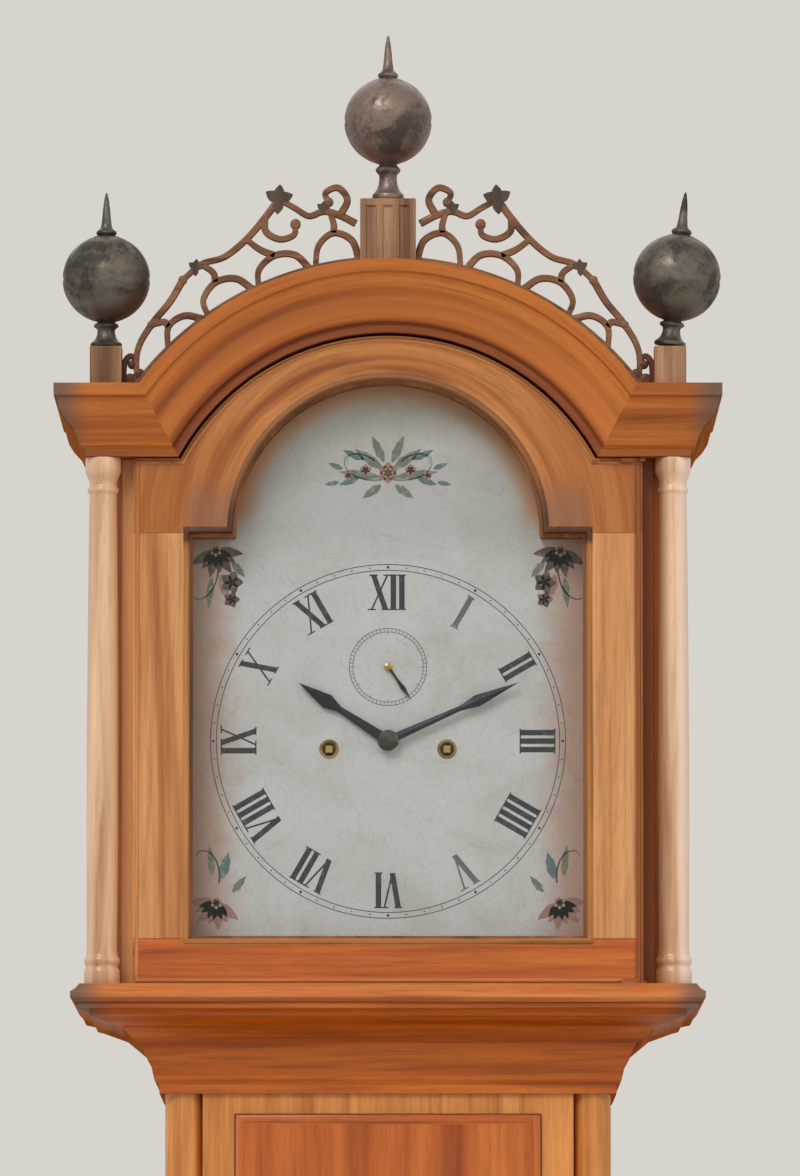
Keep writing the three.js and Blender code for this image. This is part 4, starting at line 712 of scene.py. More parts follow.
class Shape:
    """Vertices and faces gathered for one piece"""

    def __init__(self):
        self.vertices = []
        self.faces = []

    def ring_grid(self, rings, closed=False, caps=True):
        """Joins rings of equal length into a skin"""
        start = len(self.vertices)
        size = len(rings[0])
        for ring in rings:
            self.vertices.extend(ring)
        count = len(rings)
        for r in range(count if closed else count - 1):
            here = start + r * size
            there = start + ((r + 1) % count) * size
            for i in range(size):
                j = (i + 1) % size
                self.faces.append((here + i, here + j, there + j, there + i))
        if caps and not closed:
            self.faces.append(tuple(start + i for i in reversed(range(size))))
            self.faces.append(tuple(start + (count - 1) * size + i for i in range(size)))
        return self

    def turned(self, profile, segments, place=Matrix.Identity(4), **settings):
        """A profile of (radius, height) pairs turned about Z, then set in place"""
        return self.ring_grid([
            [place @ Vector((x, y, height)) for x, y in circle(radius, segments)]
            for radius, height in profile
        ], **settings)

    def tube(self, points, radius, sides=8):
        """A round tube along points"""
        points = [Vector(p) for p in points]
        rings = []
        side = None
        for i, point in enumerate(points):
            along = (points[min(i + 1, len(points) - 1)] - points[max(i - 1, 0)]).normalized()
            if side is None:
                side = along.orthogonal().normalized()
            side = (side - along * side.dot(along)).normalized()
            other = along.cross(side)
            rings.append([point + (side * math.cos(a) + other * math.sin(a)) * radius for a in angles(sides)])
        return self.ring_grid(rings)

    def slab(self, outline, y0, y1):
        """An outline of (x, z) points with thickness along Y"""
        self.ring_grid([[Vector((x, y, z)) for x, z in outline] for y in (y0, y1)])

    def flat(self, outline, y):
        """A thin layer with an outline of (x, z) points"""
        start = len(self.vertices)
        self.vertices.extend(Vector((x, y, z)) for x, z in outline)
        self.faces.append(tuple(range(start, start + len(outline))))

    def flat_ring(self, radius, width, z, y, steps):
        """A thin ring round x = 0"""
        inner, outer = radius - width / 2, radius + width / 2
        for i in range(steps):
            a, b = i / steps * math.tau, (i + 1) / steps * math.tau
            corners = ((inner, a), (outer, a), (outer, b), (inner, b))
            self.flat([(r * math.sin(angle), z + r * math.cos(angle)) for r, angle in corners], y)

    def add(self, name, material, body, slot, smooth=SMOOTH_ANGLE, replaces=()):
        """Makes the piece, which rides on a body"""
        mesh = bpy.data.meshes.new(name)
        mesh.from_pydata([tuple(v) for v in self.vertices], [], self.faces)
        mesh.update()
        work = bmesh.new()
        work.from_mesh(mesh)
        bmesh.ops.remove_doubles(work, verts=work.verts, dist=1e-7)
        bmesh.ops.recalc_face_normals(work, faces=work.faces)
        work.to_mesh(mesh)
        work.free()
        mesh.materials.append(material)
        for polygon in mesh.polygons:
            polygon.use_smooth = True
        mesh.set_sharp_from_angle(angle=math.radians(smooth))
        piece = link(name, mesh)
        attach(piece, body)
        if replaces:
            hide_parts(*replaces)
        return piece


def facing(x, y, z, back=False):
    """A place whose own Z axis points at the viewer, or back into the clock"""
    return Matrix.Translation((x, y, z)) @ Matrix.Rotation(math.pi / 2 * (-1 if back else 1), 4, "X")


def bearings(angle):
    """For a clock angle, the directions along it and across it, as (x, z)"""
    return Vector((math.sin(angle), math.cos(angle))), Vector((math.cos(angle), -math.sin(angle)))


def moulding(name, path, profile, y, material, body, slot):
    """A profile of (outward, forward) pairs run round a closed path of (x, z) points and mitred"""
    rings = []
    for i, point in enumerate(path):
        before = Vector(point) - Vector(path[i - 1])
        after = Vector(path[(i + 1) % len(path)]) - Vector(point)
        first = Vector((before.y, -before.x)).normalized()
        second = Vector((after.y, -after.x)).normalized()
        middle = (first + second).normalized()
        reach = 1 / max(0.3, middle.dot(first))
        rings.append([
            Vector((point[0] + middle.x * out * reach, y - forward, point[1] + middle.y * out * reach))
            for out, forward in profile
        ])
    Shape().ring_grid(rings, closed=True).add(name, material, body, slot)


def arched(half, bottom, shoulder, centre_z, radius, steps=36):
    """The outline of an opening or door: straight sides, level shoulders and a round arch"""
    spring = math.asin(max(-1, min(1, (shoulder - centre_z) / radius)))
    path = [(-half, bottom), (half, bottom), (half, shoulder)]
    for angle in angles(steps, math.pi - 2 * spring):
        path.append((radius * math.cos(spring + angle), centre_z + radius * math.sin(spring + angle)))
    return path + [(-half, shoulder)]


def smooth_points(points, steps=7):
    """A Catmull-Rom curve through points"""
    points = [Vector(p) for p in points]
    ends = [points[0] * 2 - points[1]] + points + [points[-1] * 2 - points[-2]]
    result = []
    for a, b, c, d in zip(ends, ends[1:], ends[2:], ends[3:]):
        for t in (s / steps for s in range(steps)):
            square, cube = (2 * a - 5 * b + 4 * c - d) * t * t, (3 * b - a - 3 * c + d) * t ** 3
            result.append(0.5 * (2 * b + (c - a) * t + square + cube))
    return result + [points[-1]]


def disc(shape, x, z, radius, y, depth):
    """A round boss with rounded edges, facing the viewer"""
    section = [(0, -1), (0.72, -1), (0.94, -0.86), (1, -0.6), (1, 0.6), (0.94, 0.86), (0.72, 1), (0, 1)]
    shape.turned([(radius * out, depth / 2 * up) for out, up in section], 20, facing(x, y, z, back=True))


def leaf_at(x, z, angle, length, width, lobes=3):
    """The outline of a pointed leaf that starts at x, z and points along a clock angle"""
    steps = 16
    side = []
    for t in (i / steps for i in range(steps + 1)):
        swell = math.sin(math.pi * t ** 0.8) ** 0.9
        notch = 1 - 0.22 * abs(math.sin(lobes * math.pi * t)) if lobes else 1
        side.append((width / 2 * swell * notch, length * t))
    outline = side + [(-u, v) for u, v in reversed(side[1:-1])]
    c, s = math.cos(angle), math.sin(angle)
    return [(x + u * c + v * s, z - u * s + v * c) for u, v in outline]


# Colonettes: (radius, height) shares of each one's box

COLONETTE_SHARES = [
    (0, 0), (0.97, 0), (1, 0.003), (1, 0.024), (0.97, 0.028), (0.91, 0.031), (0.89, 0.035), (0.93, 0.038),
    (0.99, 0.042), (1, 0.046), (0.97, 0.05), (0.89, 0.053), (0.88, 0.058), (0.85, 0.064), (0.84, 0.07),
    (0.86, 0.15), (0.88, 0.3), (0.875, 0.45), (0.85, 0.6), (0.82, 0.75), (0.785, 0.88), (0.765, 0.93),
    (0.77, 0.932), (0.85, 0.935), (0.87, 0.938), (0.85, 0.942), (0.77, 0.945), (0.76, 0.95), (0.78, 0.956),
    (0.84, 0.962), (0.91, 0.967), (0.96, 0.971), (1, 0.974), (1, 0.996), (0.98, 1), (0, 1),
]


def build_colonettes():
    for side in SIDES:
        node = f"colonette_{side}"
        low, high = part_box(node)
        radius = (high.x - low.x) / 2
        place = Matrix.Translation((centre(node)[0], low.y + radius, low.z))
        profile = [(out * radius, up * (high.z - low.z)) for out, up in COLONETTE_SHARES]
        shape = Shape().turned(profile, 40, place)
        shape.add(f"{node}_turned", MAPLE[side], "hood", "pale_maple", 40, [node])


# Centre plinth: three flutes down its front, on a foot that follows the arch

FLUTE_DEPTH = 0.0022
FLUTE_HALF = 0.0042
FLUTE_STEP = 0.0125
FLUTE_BOTTOM = 0.041
FLUTE_TOP = 0.0062
CAP_BOTTOM = 0.0050
CAP_TOP = 0.0008
CAP_X_SHARE = 0.97
CAP_Y_SHARE = 0.994


def build_centre_plinth():
    low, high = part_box("centre_plinth")
    plan = [(-PLINTH_HALF, high.y), (-PLINTH_HALF, low.y)]
    for middle in (-FLUTE_STEP, 0, FLUTE_STEP):
        plan += [
            (middle - FLUTE_HALF * math.cos(a), low.y + FLUTE_DEPTH * math.sin(a)) for a in angles(8, math.pi)
        ]
    plan += [(PLINTH_HALF, low.y), (PLINTH_HALF, high.y)]
    cap = [(x, low.y if y < high.y - FLUTE_DEPTH else y) for x, y in plan]
    rings = [[Vector((x, y, ARC_Z + math.sqrt((CORNICE_R + FIT) ** 2 - x * x))) for x, y in plan]]
    for outline, below in ((plan, FLUTE_BOTTOM), (plan, FLUTE_TOP), (cap, CAP_BOTTOM), (cap, CAP_TOP)):
        rings.append([Vector((x, y, high.z - below)) for x, y in outline])
    rings.append([Vector((x * CAP_X_SHARE, y * CAP_Y_SHARE, high.z)) for x, y in cap])
    shape = Shape().ring_grid(rings)
    shape.add("centre_plinth_fluted", PLINTH_WOOD, "hood", "cherry_wood", 35, ["centre_plinth"])


# Finials: a ball on a waisted stem, with a thin spire

BALL_R = 0.033
BALL_SEAM = 0.0006
BALL_STEPS = 28
POLE_ANGLE = 0.3
SPIRE_LENGTH = 0.034
SIDE_STEM = 0.020
CENTRE_STEM = 0.028
RIGHT_LEAN = math.radians(6)
STEM_FOOT_SHARE = 0.36

# (radius as a share of the ball's, height as a share of the stem or spire)
STEM_SHARES = [
    (0, 0), (0.35, 0), (0.36, 0.02), (0.36, 0.12), (0.34, 0.15), (0.3, 0.2), (0.255, 0.28), (0.22, 0.4),
    (0.2, 0.56), (0.205, 0.66), (0.24, 0.71), (0.28, 0.76), (0.285, 0.82), (0.255, 0.87), (0.21, 0.91),
    (0.2, 0.95),
]
SPIRE_SHARES = [
    (0.3, 0.005), (0.24, 0.02), (0.2, 0.04), (0.225, 0.07), (0.235, 0.1), (0.215, 0.14), (0.16, 0.18),
    (0.13, 0.22), (0.115, 0.3), (0.1, 0.42), (0.085, 0.6), (0.06, 0.8), (0.03, 0.95), (0.01, 0.995), (0, 1),
]


def finial_profile(stem):
    points = [(out * BALL_R, up * stem) for out, up in STEM_SHARES]
    ball_z = stem + BALL_R * math.cos(POLE_ANGLE)
    for i, angle in enumerate(angles(BALL_STEPS, math.pi - 2 * POLE_ANGLE)):
        seam = BALL_SEAM if i == BALL_STEPS // 2 else 0
        angle += POLE_ANGLE
        points.append((BALL_R * math.sin(angle) - seam, ball_z - BALL_R * math.cos(angle)))
    top = ball_z + BALL_R * math.cos(POLE_ANGLE)
    return points + [(out * BALL_R, top + up * SPIRE_LENGTH) for out, up in SPIRE_SHARES]


def build_finial(name, plinth, stem, lean, material):
    x, y, top = centre(plinth)[0], centre("centre_plinth")[1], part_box(plinth)[1].z
    lift = BALL_R * STEM_FOOT_SHARE * math.sin(lean)
    place = Matrix.Translation((x, y, top + FIT + lift)) @ Matrix.Rotation(lean, 4, "Y")
    shape = Shape().turned(finial_profile(stem), 48, place)
    shape.add(f"{name}_turned", material, "hood", "aged_brass", 45, [name])


def build_finials():
    build_finial("side_finial_left", "side_plinth_left", SIDE_STEM, 0, AGED)
    build_finial("side_finial_right", "side_plinth_right", SIDE_STEM, RIGHT_LEAN, AGED)
    build_finial("centre_finial", "centre_plinth", CENTRE_STEM, 0, AGED_LIT)


# Frets: ribbons with rounded faces, volute eyes, leaf tips and a tail scroll at the side plinth

FRET_HEIGHT = 0.062
FRET_STRIP = 0.005
FRET_SHOULDER_X = 0.138
RIBBON_WIDTH = FRET_STRIP * 1.12
LEAF_WIDTH_SHARE = 0.72
STRIP_STEPS = [i / 40 for i in range(41)]

# Shares of the fret's depth, in steps so that crossing pieces have no face in common
RIBBON_DEPTH = 0.86
RIBBON_DEPTH_STEP = 0.03
LEAF_HALF_DEPTH = 0.485
LEAF_DEPTH_STEP = 0.01
TAIL_DEPTH = 0.8
TAIL_EYE_DEPTH = 0.96

# Places as shares: along from the centre plinth to the shoulder, and up from the cornice
FRET_RIBBONS = [
    [(0, 0.5), (0.05, 0.62), (0.1, 0.7), (0.15, 0.68), (0.19, 0.82), (0.23, 0.97)],
    [(0.23, 0.97), (0.29, 0.8), (0.37, 0.64), (0.46, 0.56), (0.54, 0.62), (0.62, 0.58)],
    [(0.62, 0.58), (0.7, 0.46), (0.8, 0.4), (0.9, 0.3), (1, 0.04)],
    [(0.05, 0.62), (0.02, 0.8), (0.045, 0.96), (0.085, 0.92), (0.08, 0.8)],
    [(0.29, 0.8), (0.3, 0.64), (0.265, 0.5), (0.215, 0.5), (0.2, 0.62)],
    [(0, 0.04), (0.02, 0.3), (0.08, 0.42), (0.14, 0.3), (0.17, 0.04)],
    [(0.19, 0.04), (0.23, 0.26), (0.3, 0.33), (0.37, 0.24), (0.4, 0.04)],
    [(0.42, 0.04), (0.46, 0.26), (0.53, 0.34), (0.6, 0.24), (0.62, 0.04)],
    [(0.64, 0.04), (0.69, 0.22), (0.76, 0.24), (0.82, 0.04)],
    [(0.08, 0.42), (0.075, 0.52), (0.08, 0.66)],
    [(0.3, 0.33), (0.34, 0.46), (0.37, 0.64)],
    [(0.53, 0.34), (0.52, 0.46), (0.54, 0.62)],
    [(0.76, 0.24), (0.76, 0.32), (0.8, 0.4)],
]
FRET_EYES = [(0.08, 0.8, 0.0036), (0.2, 0.62, 0.0040), (0.62, 0.58, 0.0034), (0.8, 0.4, 0.0030)]
FRET_LEAVES = [(0.23, 0.97, 0.0112), (0.1, 0.74, 0.0054), (0.56, 0.62, 0.0064)]
LEAF_TURNS = (-1.25, -0.1, 1.05, math.pi - 0.1)

# The tail's places: distance from the middle plane and height over the side plinth's foot
TAIL_CURL = [
    (0.1984, -0.001), (0.1990, 0.009), (0.1978, 0.019), (0.1938, 0.0235), (0.1900, 0.0205), (0.1912, 0.0155),
]
TAIL_EYES = [(0.1924, 0.0170, 0.0034), (0.1938, 0.0054, 0.0048), (0.1868, 0.0092, 0.0046)]


def fret_point(sign, along, rise):
    start = math.asin((PLINTH_HALF + FIT) / CORNICE_R)
    end = math.pi / 2 - math.asin(FRET_SHOULDER_X / CORNICE_R)
    angle = math.pi / 2 - sign * (start + along * (end - start))
    radius = CORNICE_R + FIT + rise * FRET_HEIGHT
    return Vector((radius * math.cos(angle), ARC_Z + radius * math.sin(angle)))


def rounded_ribbon(shape, line, width, y, depth, taper=0.25):
    """A flat ribbon whose front and back edges are rounded over"""
    section = [(-1, -0.7), (-0.75, -1), (0.75, -1), (1, -0.7), (1, 0.7), (0.75, 1), (-0.75, 1), (-1, 0.7)]
    last = len(line) - 1
    rings = []
    for i, point in enumerate(line):
        along = (line[min(last, i + 1)] - line[max(0, i - 1)]).normalized()
        across = Vector((-along.y, along.x)) * width / 2 * (1 - taper * i / last)
        rings.append([
            Vector((point.x + across.x * u, y + v * depth / 2, point.y + across.y * u)) for u, v in section
        ])
    shape.ring_grid(rings)


def build_fret(side, sign):
    low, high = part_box(f"fret_{side}")
    y = centre(f"fret_{side}")[1]
    depth = high.y - low.y
    scrolls = Shape()
    strip = [fret_point(sign, along, FRET_STRIP / 2 / FRET_HEIGHT + 0.004) for along in STRIP_STEPS]
    rounded_ribbon(scrolls, strip, FRET_STRIP, y, depth, 0)
    for index, line in enumerate(FRET_RIBBONS):
        points = smooth_points([fret_point(sign, along, rise) for along, rise in line])
        share = RIBBON_DEPTH + RIBBON_DEPTH_STEP * (index % 4)
        rounded_ribbon(scrolls, points, RIBBON_WIDTH, y, depth * share)
    for along, rise, size in FRET_EYES:
        disc(scrolls, *fret_point(sign, along, rise), size, y, depth)
    scrolls.add(f"fret_{side}_scrolls", FRET_WOOD, "hood", "cherry_wood", 50, [f"fret_{side}"])
    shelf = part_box(f"side_plinth_{side}")[0].z
    tail = Shape()
    bend = smooth_points([Vector((sign * x, shelf + rise)) for x, rise in TAIL_CURL])
    rounded_ribbon(tail, bend, FRET_STRIP, y, depth * TAIL_DEPTH)
    for x, rise, size in TAIL_EYES:
        disc(tail, sign * x, shelf + rise, size, y, depth * TAIL_EYE_DEPTH)
    tail.add(f"fret_{side}_tail", TAIL_WOOD, "hood", "cherry_wood", 50)
    leaves = Shape()
    for along, rise, size in FRET_LEAVES:
        x, z = fret_point(sign, along, rise)
        for index, turn in enumerate(LEAF_TURNS):
            half = depth * (LEAF_HALF_DEPTH - LEAF_DEPTH_STEP * index)
            leaves.slab(leaf_at(x, z, sign * turn, size, size * LEAF_WIDTH_SHARE, 0), y - half, y + half)
    leaves.add(f"fret_{side}_leaf", LEAF_WOOD, "hood", "cherry_wood")


def build_frets():
    for side, sign in SIDES.items():
        build_fret(side, sign)


# Hood: beads round the door and its opening, strips in the corners that fill the gaps behind the colonettes
# with painted light on the left and painted shade on the right, and the glass's putty

BEAD_FACE = -0.0006
OPENING_BEAD = [
    (-0.0001, -0.006), (-0.0001, 0.0002), (0.0003, 0.0011), (0.0012, 0.0018), (0.0024, 0.0019),
    (0.0034, 0.0014), (0.0040, 0.0004), (0.0048, 0.0001), (0.0048, BEAD_FACE), (0.0006, -0.006),
]
EDGE_BEAD_WIDTH = 0.003
EDGE_BEAD_HEIGHT = 0.0011
EDGE_BEAD_INSET = 0.0045
PUTTY = [(-0.0026, 0.0012), (-0.0026, -0.0016), (0.0004, -0.0022), (0.0004, 0.0030)]
PUTTY_Y = -0.0848
CORNER_STRIP_X = (0.2003, 0.2052)
CORNER_STRIP_Y = (-0.0765, -0.066)
CORNER_STRIP_Z = (1.6204, 2.0166)


def build_hood_trim():
    opening = arched(OPENING_HALF, OPENING_BOTTOM, OPENING_ARCH_Z, OPENING_ARCH_Z, OPENING_ARCH_R)
    bead = "hood_door_opening_bead"
    moulding(bead, opening, OPENING_BEAD, DOOR_FRONT_Y, RED_BEAD, "hood_door", "cherry_wood")
    outer = arched(
        DOOR_HALF - EDGE_BEAD_INSET, DOOR_BOTTOM + EDGE_BEAD_INSET, DOOR_SHOULDER - EDGE_BEAD_INSET,
        ARC_Z, DOOR_ARCH_R - EDGE_BEAD_INSET,
    )
    half = EDGE_BEAD_WIDTH / 2
    edge = [(half - half * math.cos(a), EDGE_BEAD_HEIGHT * math.sin(a)) for a in angles(8, math.pi)]
    edge += [(EDGE_BEAD_WIDTH, BEAD_FACE), (0, BEAD_FACE)]
    moulding("hood_door_edge_bead", outer, edge, DOOR_FRONT_Y, PALE_BEAD, "hood_door", "cherry_wood")
    (inner_x, outer_x), (front_y, rear_y) = CORNER_STRIP_X, CORNER_STRIP_Y
    for side, sign in SIDES.items():
        plan = ((inner_x, front_y), (outer_x, front_y), (outer_x, rear_y), (inner_x, rear_y))
        strip = Shape().ring_grid([[Vector((sign * x, y, z)) for x, y in plan] for z in CORNER_STRIP_Z])
        strip.add(f"hood_corner_strip_{side}", CORNER_WOOD[side], "hood", "dark_cherry")
    moulding("hood_door_glazing_strip", opening, PUTTY, PUTTY_Y, MASK_WOOD, "hood_door", "dark_cherry")


# Dial: numerals, tracks, sprays and corner ornaments painted on the iron sheet

MARK_Y = DIAL_Y - 0.00006
COAT = 0.00003
NUMERALS = ["XII", "I", "II", "III", "IIII", "V", "VI", "VII", "VIII", "IX", "X", "XI"]
WORN_NUMERALS = ("I", "V")
NUMERAL_R = 0.1125
NUMERAL_HALF = 0.013
LETTER_WIDTHS = {"I": 0.0052, "V": 0.0132, "X": 0.0132}
LETTER_GAP = 0.0012
THICK = 0.0042
THIN = 0.0014
SERIF_HALF = 0.0031
SERIF_HEIGHT = 0.0010

MINUTE_TRACK = (0.1292, 0.1336)
MINUTE_DOT_R = 0.1314
MINUTE_LINE = 0.0006
MINUTE_DOTS = (0.0011, 0.0006)
SECONDS_TRACK = (0.0265, 0.0292)
SECONDS_LINE = 0.0004
SECONDS_TICKS = (0.0248, 0.0268)
SECONDS_TICK_END = 0.029
TICK_HALF = 0.00018

# The spray over the dial's centre: (x, z, clock angle, length, width) of each leaf
SPRAY_LEAVES = [
    (0.004, 2.012, 0.95, 0.026, 0.0085), (0.006, 2.006, 1.45, 0.032, 0.0075),
    (0.003, 2.017, 0.42, 0.022, 0.0075), (0.018, 2.019, 1.15, 0.018, 0.0060),
    (0.022, 2.005, 1.9, 0.016, 0.0058), (0.005, 2.000, 2.2, 0.018, 0.0070),
    (0.034, 2.012, 1.2, 0.012, 0.0046), (0.037, 2.002, 1.75, 0.011, 0.0042),
]
TEAL_WIDTH = 0.0062

# Its scrolls: (paint, x, z, clock angle, length, turning hand, width)
SPRAY_CURLS = [
    ("green", 0.004, 2.004, 1.7, 0.040, -1, 0.0009), ("teal", 0.010, 2.018, 0.9, 0.026, 1, 0.0007),
]

# Its flowers: (x, z, petal length, petal width, turn), and the middle one's two rings of petals
SPRAY_ROSES = [(0.017, 2.011, 0.0048, 0.0042, 0.0), (0.030, 2.007, 0.0036, 0.0032, 0.4)]
MIDDLE_Z = 2.009
MIDDLE_OUTER = (0.0085, 0.0070)
MIDDLE_INNER = (0.0048, 0.0040)
MIDDLE_EYE_R = 0.0022

# Corner flowers: (x, z, turn), and (z, petal length) of the small ones under the top corners
CORNERS = [(0.130, 1.950, 0.2), (0.129, 1.684, 2.8)]
FAN_PETALS = 7
FAN_STEP = 0.42
FAN_LENGTHS = (0.021, 0.017)
FAN_WIDTH = 0.0078
DROP_X = 0.118
DROPS = [(1.926, 0.009), (1.913, 0.0065)]

# Corner leaves: (paint, distance aside and below, lean, length, width)
BUD = (-0.004, 0.018, -0.25, 0.021, 0.0085)
CORNER_LEAVES = [("green", -0.012, 0.008, -0.7, 0.016, 0.0062), ("green", 0.003, 0.020, 0.1, 0.024, 0.0060)]

COLLET_BORE = 0.0055
COLLET_PROFILE = [
    (0, -0.0008), (0.0018, -0.0002), (0.0018, 0.0003), (0.0014, 0.0006), (0.0004, 0.0006), (0, 0.0003),
]


def stroke(start, end, width):
    (u0, v0), (u1, v1) = start, end
    return [(u0 - width / 2, v0), (u0 + width / 2, v0), (u1 + width / 2, v1), (u1 - width / 2, v1)]


def numeral_strokes(text):
    """Thick and thin strokes with serifs, in a frame with its origin at the numeral's centre"""
    low, high = -NUMERAL_HALF, NUMERAL_HALF
    u = -(sum(LETTER_WIDTHS[letter] for letter in text) + LETTER_GAP * (len(text) - 1)) / 2
    shapes = []
    for letter in text:
        width = LETTER_WIDTHS[letter]
        middle, left, right = u + width / 2, u + THIN / 2, u + width - THIN / 2
        heavy_left, heavy_right = u + THICK / 2, u + width - THICK / 2
        strokes = {
            "I": [((middle, low), (middle, high), THICK)],
            "V": [((middle, low), (heavy_left, high), THICK), ((middle, low), (right, high), THIN)],
            "X": [((heavy_right, low), (heavy_left, high), THICK), ((left, low), (right, high), THIN)],
        }[letter]
        shapes += [stroke(*ends) for ends in strokes]
        feet = [end for start, tip, _ in strokes for end in (start, tip) if letter != "V" or end[1] == high]
        for x, v in feet:
            shapes.append(stroke((x, v - SERIF_HEIGHT / 2), (x, v + SERIF_HEIGHT / 2), SERIF_HALF * 2))
        u += width + LETTER_GAP
    return shapes


def build_numerals():
    dark, faint = Shape(), Shape()
    for hour, text in enumerate(NUMERALS):
        out, across = bearings(hour * math.tau / 12)
        middle = Vector((0, CENTRE_Z)) + out * NUMERAL_R
        target = faint if text in WORN_NUMERALS else dark
        for index, outline in enumerate(numeral_strokes(text)):
            target.flat([middle + across * u + out * v for u, v in outline], MARK_Y - 0.000002 * (index % 3))
    dark.add("dial_numerals", INK, "case", "painted_dial")
    faint.add("dial_numerals_worn", INK_FAINT, "case", "painted_dial")


def build_tracks():
    track = Shape()
    for radius in MINUTE_TRACK:
        track.flat_ring(radius, MINUTE_LINE, CENTRE_Z, MARK_Y, 120)
    for minute in range(60):
        size = MINUTE_DOTS[0] if minute % 5 == 0 else MINUTE_DOTS[1]
        turn = minute * math.tau / 60
        x, z = MINUTE_DOT_R * math.sin(turn), CENTRE_Z + MINUTE_DOT_R * math.cos(turn)
        track.flat(circle(size, 8, x, z), MARK_Y)
    for radius in SECONDS_TRACK:
        track.flat_ring(radius, SECONDS_LINE, SECONDS_Z, MARK_Y, 60)
    for second in range(60):
        inner = SECONDS_TICKS[0] if second % 5 == 0 else SECONDS_TICKS[1]
        out, across = bearings(second * math.tau / 60)
        start, end, half = out * inner, out * SECONDS_TICK_END, across * TICK_HALF
        tick = (start - half, start + half, end + half, end - half)
        track.flat([(p.x, SECONDS_Z + p.y) for p in tick], MARK_Y)
    track.add("dial_tracks", INK, "case", "painted_dial")


def petal_ring(shape, x, z, count, reach, width, y, turn=0.0):
    """A small flower seen from above"""
    for angle in angles(count):
        shape.flat(leaf_at(x, z, turn + angle, reach, width, 0), y)


def curl(shape, x, z, heading, size, hand, width):
    """A painted scroll that winds inward"""
    points = []
    at = Vector((x, z))
    steps = 26
    for i in range(steps):
        points.append(at.copy())
        at += bearings(heading)[0] * size / steps * (1.7 - 1.2 * i / steps)
        heading += hand * (0.06 + 0.3 * (i / steps) ** 2)
    for i, (first, second) in enumerate(zip(points, points[1:])):
        along = (second - first).normalized()
        across = Vector((-along.y, along.x))
        start, end = [across * (width / 2 * (1.5 - step / steps)) for step in (i, i + 1)]
        shape.flat([first - start, first + start, second + end, second - end], MARK_Y)


def paint_corner(coats, side, centre_x, z, turn):
    """A half flower with a bud and leaves: rosy and rising at the bottom, dark and hanging at the top, where
    the dark fan is partly ornament and partly painted shade under the door's shoulders
    """
    x = side * centre_x
    top = z > CENTRE_Z
    down = -1 if top else 1
    upright = math.pi if top else 0
    fan = coats["brown" if top else "rose"]
    for i in range(FAN_PETALS):
        spread = turn + (i - FAN_PETALS // 2) * FAN_STEP
        fan.flat(leaf_at(x, z, side * spread + upright, FAN_LENGTHS[i % 2], FAN_WIDTH, 0), MARK_Y)
    petal_ring(coats["gold"], x, z, 6, 0.0050, 0.0036, MARK_Y - COAT)
    bud = ("rose" if top else "teal", *BUD)
    for colour, aside, below, lean, length, width in [bud] + CORNER_LEAVES:
        leaf = leaf_at(x + side * aside, z + down * below, upright + side * lean * down, length, width)
        coats[colour].flat(leaf, MARK_Y)
    start = (x - side * 0.002, z + down * 0.015)
    curl(coats["brown"], *start, upright - side * 0.1, 0.034, side * down, 0.001)


def build_sprays():
    coats = {colour: Shape() for colour in SPRAY_PAINTS}
    for side in SIDES.values():
        for x, z, angle, length, width in SPRAY_LEAVES:
            leaf = leaf_at(side * x, z, side * angle, length, width)
            coats["teal" if width < TEAL_WIDTH else "green"].flat(leaf, MARK_Y)
        for colour, x, z, angle, length, hand, width in SPRAY_CURLS:
            curl(coats[colour], side * x, z, side * angle, length, side * hand, width)
        for x, z, reach, width, turn in SPRAY_ROSES:
            petal_ring(coats["rose"], side * x, z, 5, reach, width, MARK_Y - COAT, turn)
        for corner in CORNERS:
            paint_corner(coats, side, *corner)
        for z, size in DROPS:
            petal_ring(coats["brown"], side * DROP_X, z, 5, size, size * 0.8, MARK_Y - COAT, 0.3)
    petal_ring(coats["rose"], 0, MIDDLE_Z, 6, *MIDDLE_OUTER, MARK_Y - COAT)
    petal_ring(coats["gold"], 0, MIDDLE_Z, 6, *MIDDLE_INNER, MARK_Y - COAT * 2, 0.5)
    coats["brown"].flat(circle(MIDDLE_EYE_R, 12, 0, MIDDLE_Z), MARK_Y - COAT * 3)
    for colour, shape in coats.items():
        shape.add(f"dial_spray_{colour}", SPRAY_PAINTS[colour], "case", "painted_dial")


def build_collets():
    shape = Shape()
    profile = [(COLLET_BORE + out, up) for out, up in COLLET_PROFILE]
    for x in (WINDING_X, -WINDING_X):
        shape.turned(profile, 32, facing(x, DIAL_Y, WINDING_Z), closed=True)
    shape.add("winding_hole_collets", BRASS_FITTING, "case", "brass")


# Hands: a raised rib on each blade and a stepped boss at the centre

MINUTE_ANGLE = math.radians(66)
MINUTE_Y = -0.06765
HOUR_ANGLE = math.radians(303)
HOUR_Y = -0.06465
SECONDS_ANGLE = math.radians(145)
SECONDS_Y = -0.06288

# A rib's places: (distance from the arbor, half width, rise)
MINUTE_RIB = [
    (0.005, 0.0028, 0.0003), (0.03, 0.0022, 0.0006), (0.058, 0.0017, 0.0006), (0.066, 0.0030, 0.0007),
    (0.0735, 0.0042, 0.0008), (0.085, 0.0030, 0.0007), (0.100, 0.0010, 0.0004), (0.1076, 0.0001, 0.0001),
]
HOUR_RIB = [
    (0.0065, 0.0034, 0.0002), (0.025, 0.0027, 0.0005), (0.043, 0.0022, 0.0005), (0.049, 0.0037, 0.0006),
    (0.0545, 0.0053, 0.0007), (0.064, 0.0037, 0.0006), (0.074, 0.0014, 0.0004), (0.0797, 0.0001, 0.0001),
]
SECONDS_RIB = [
    (0.0012, 0.0012, 0.0001), (0.012, 0.0009, 0.0003), (0.0195, 0.0018, 0.0003), (0.0288, 0.0001, 0.0001),
]

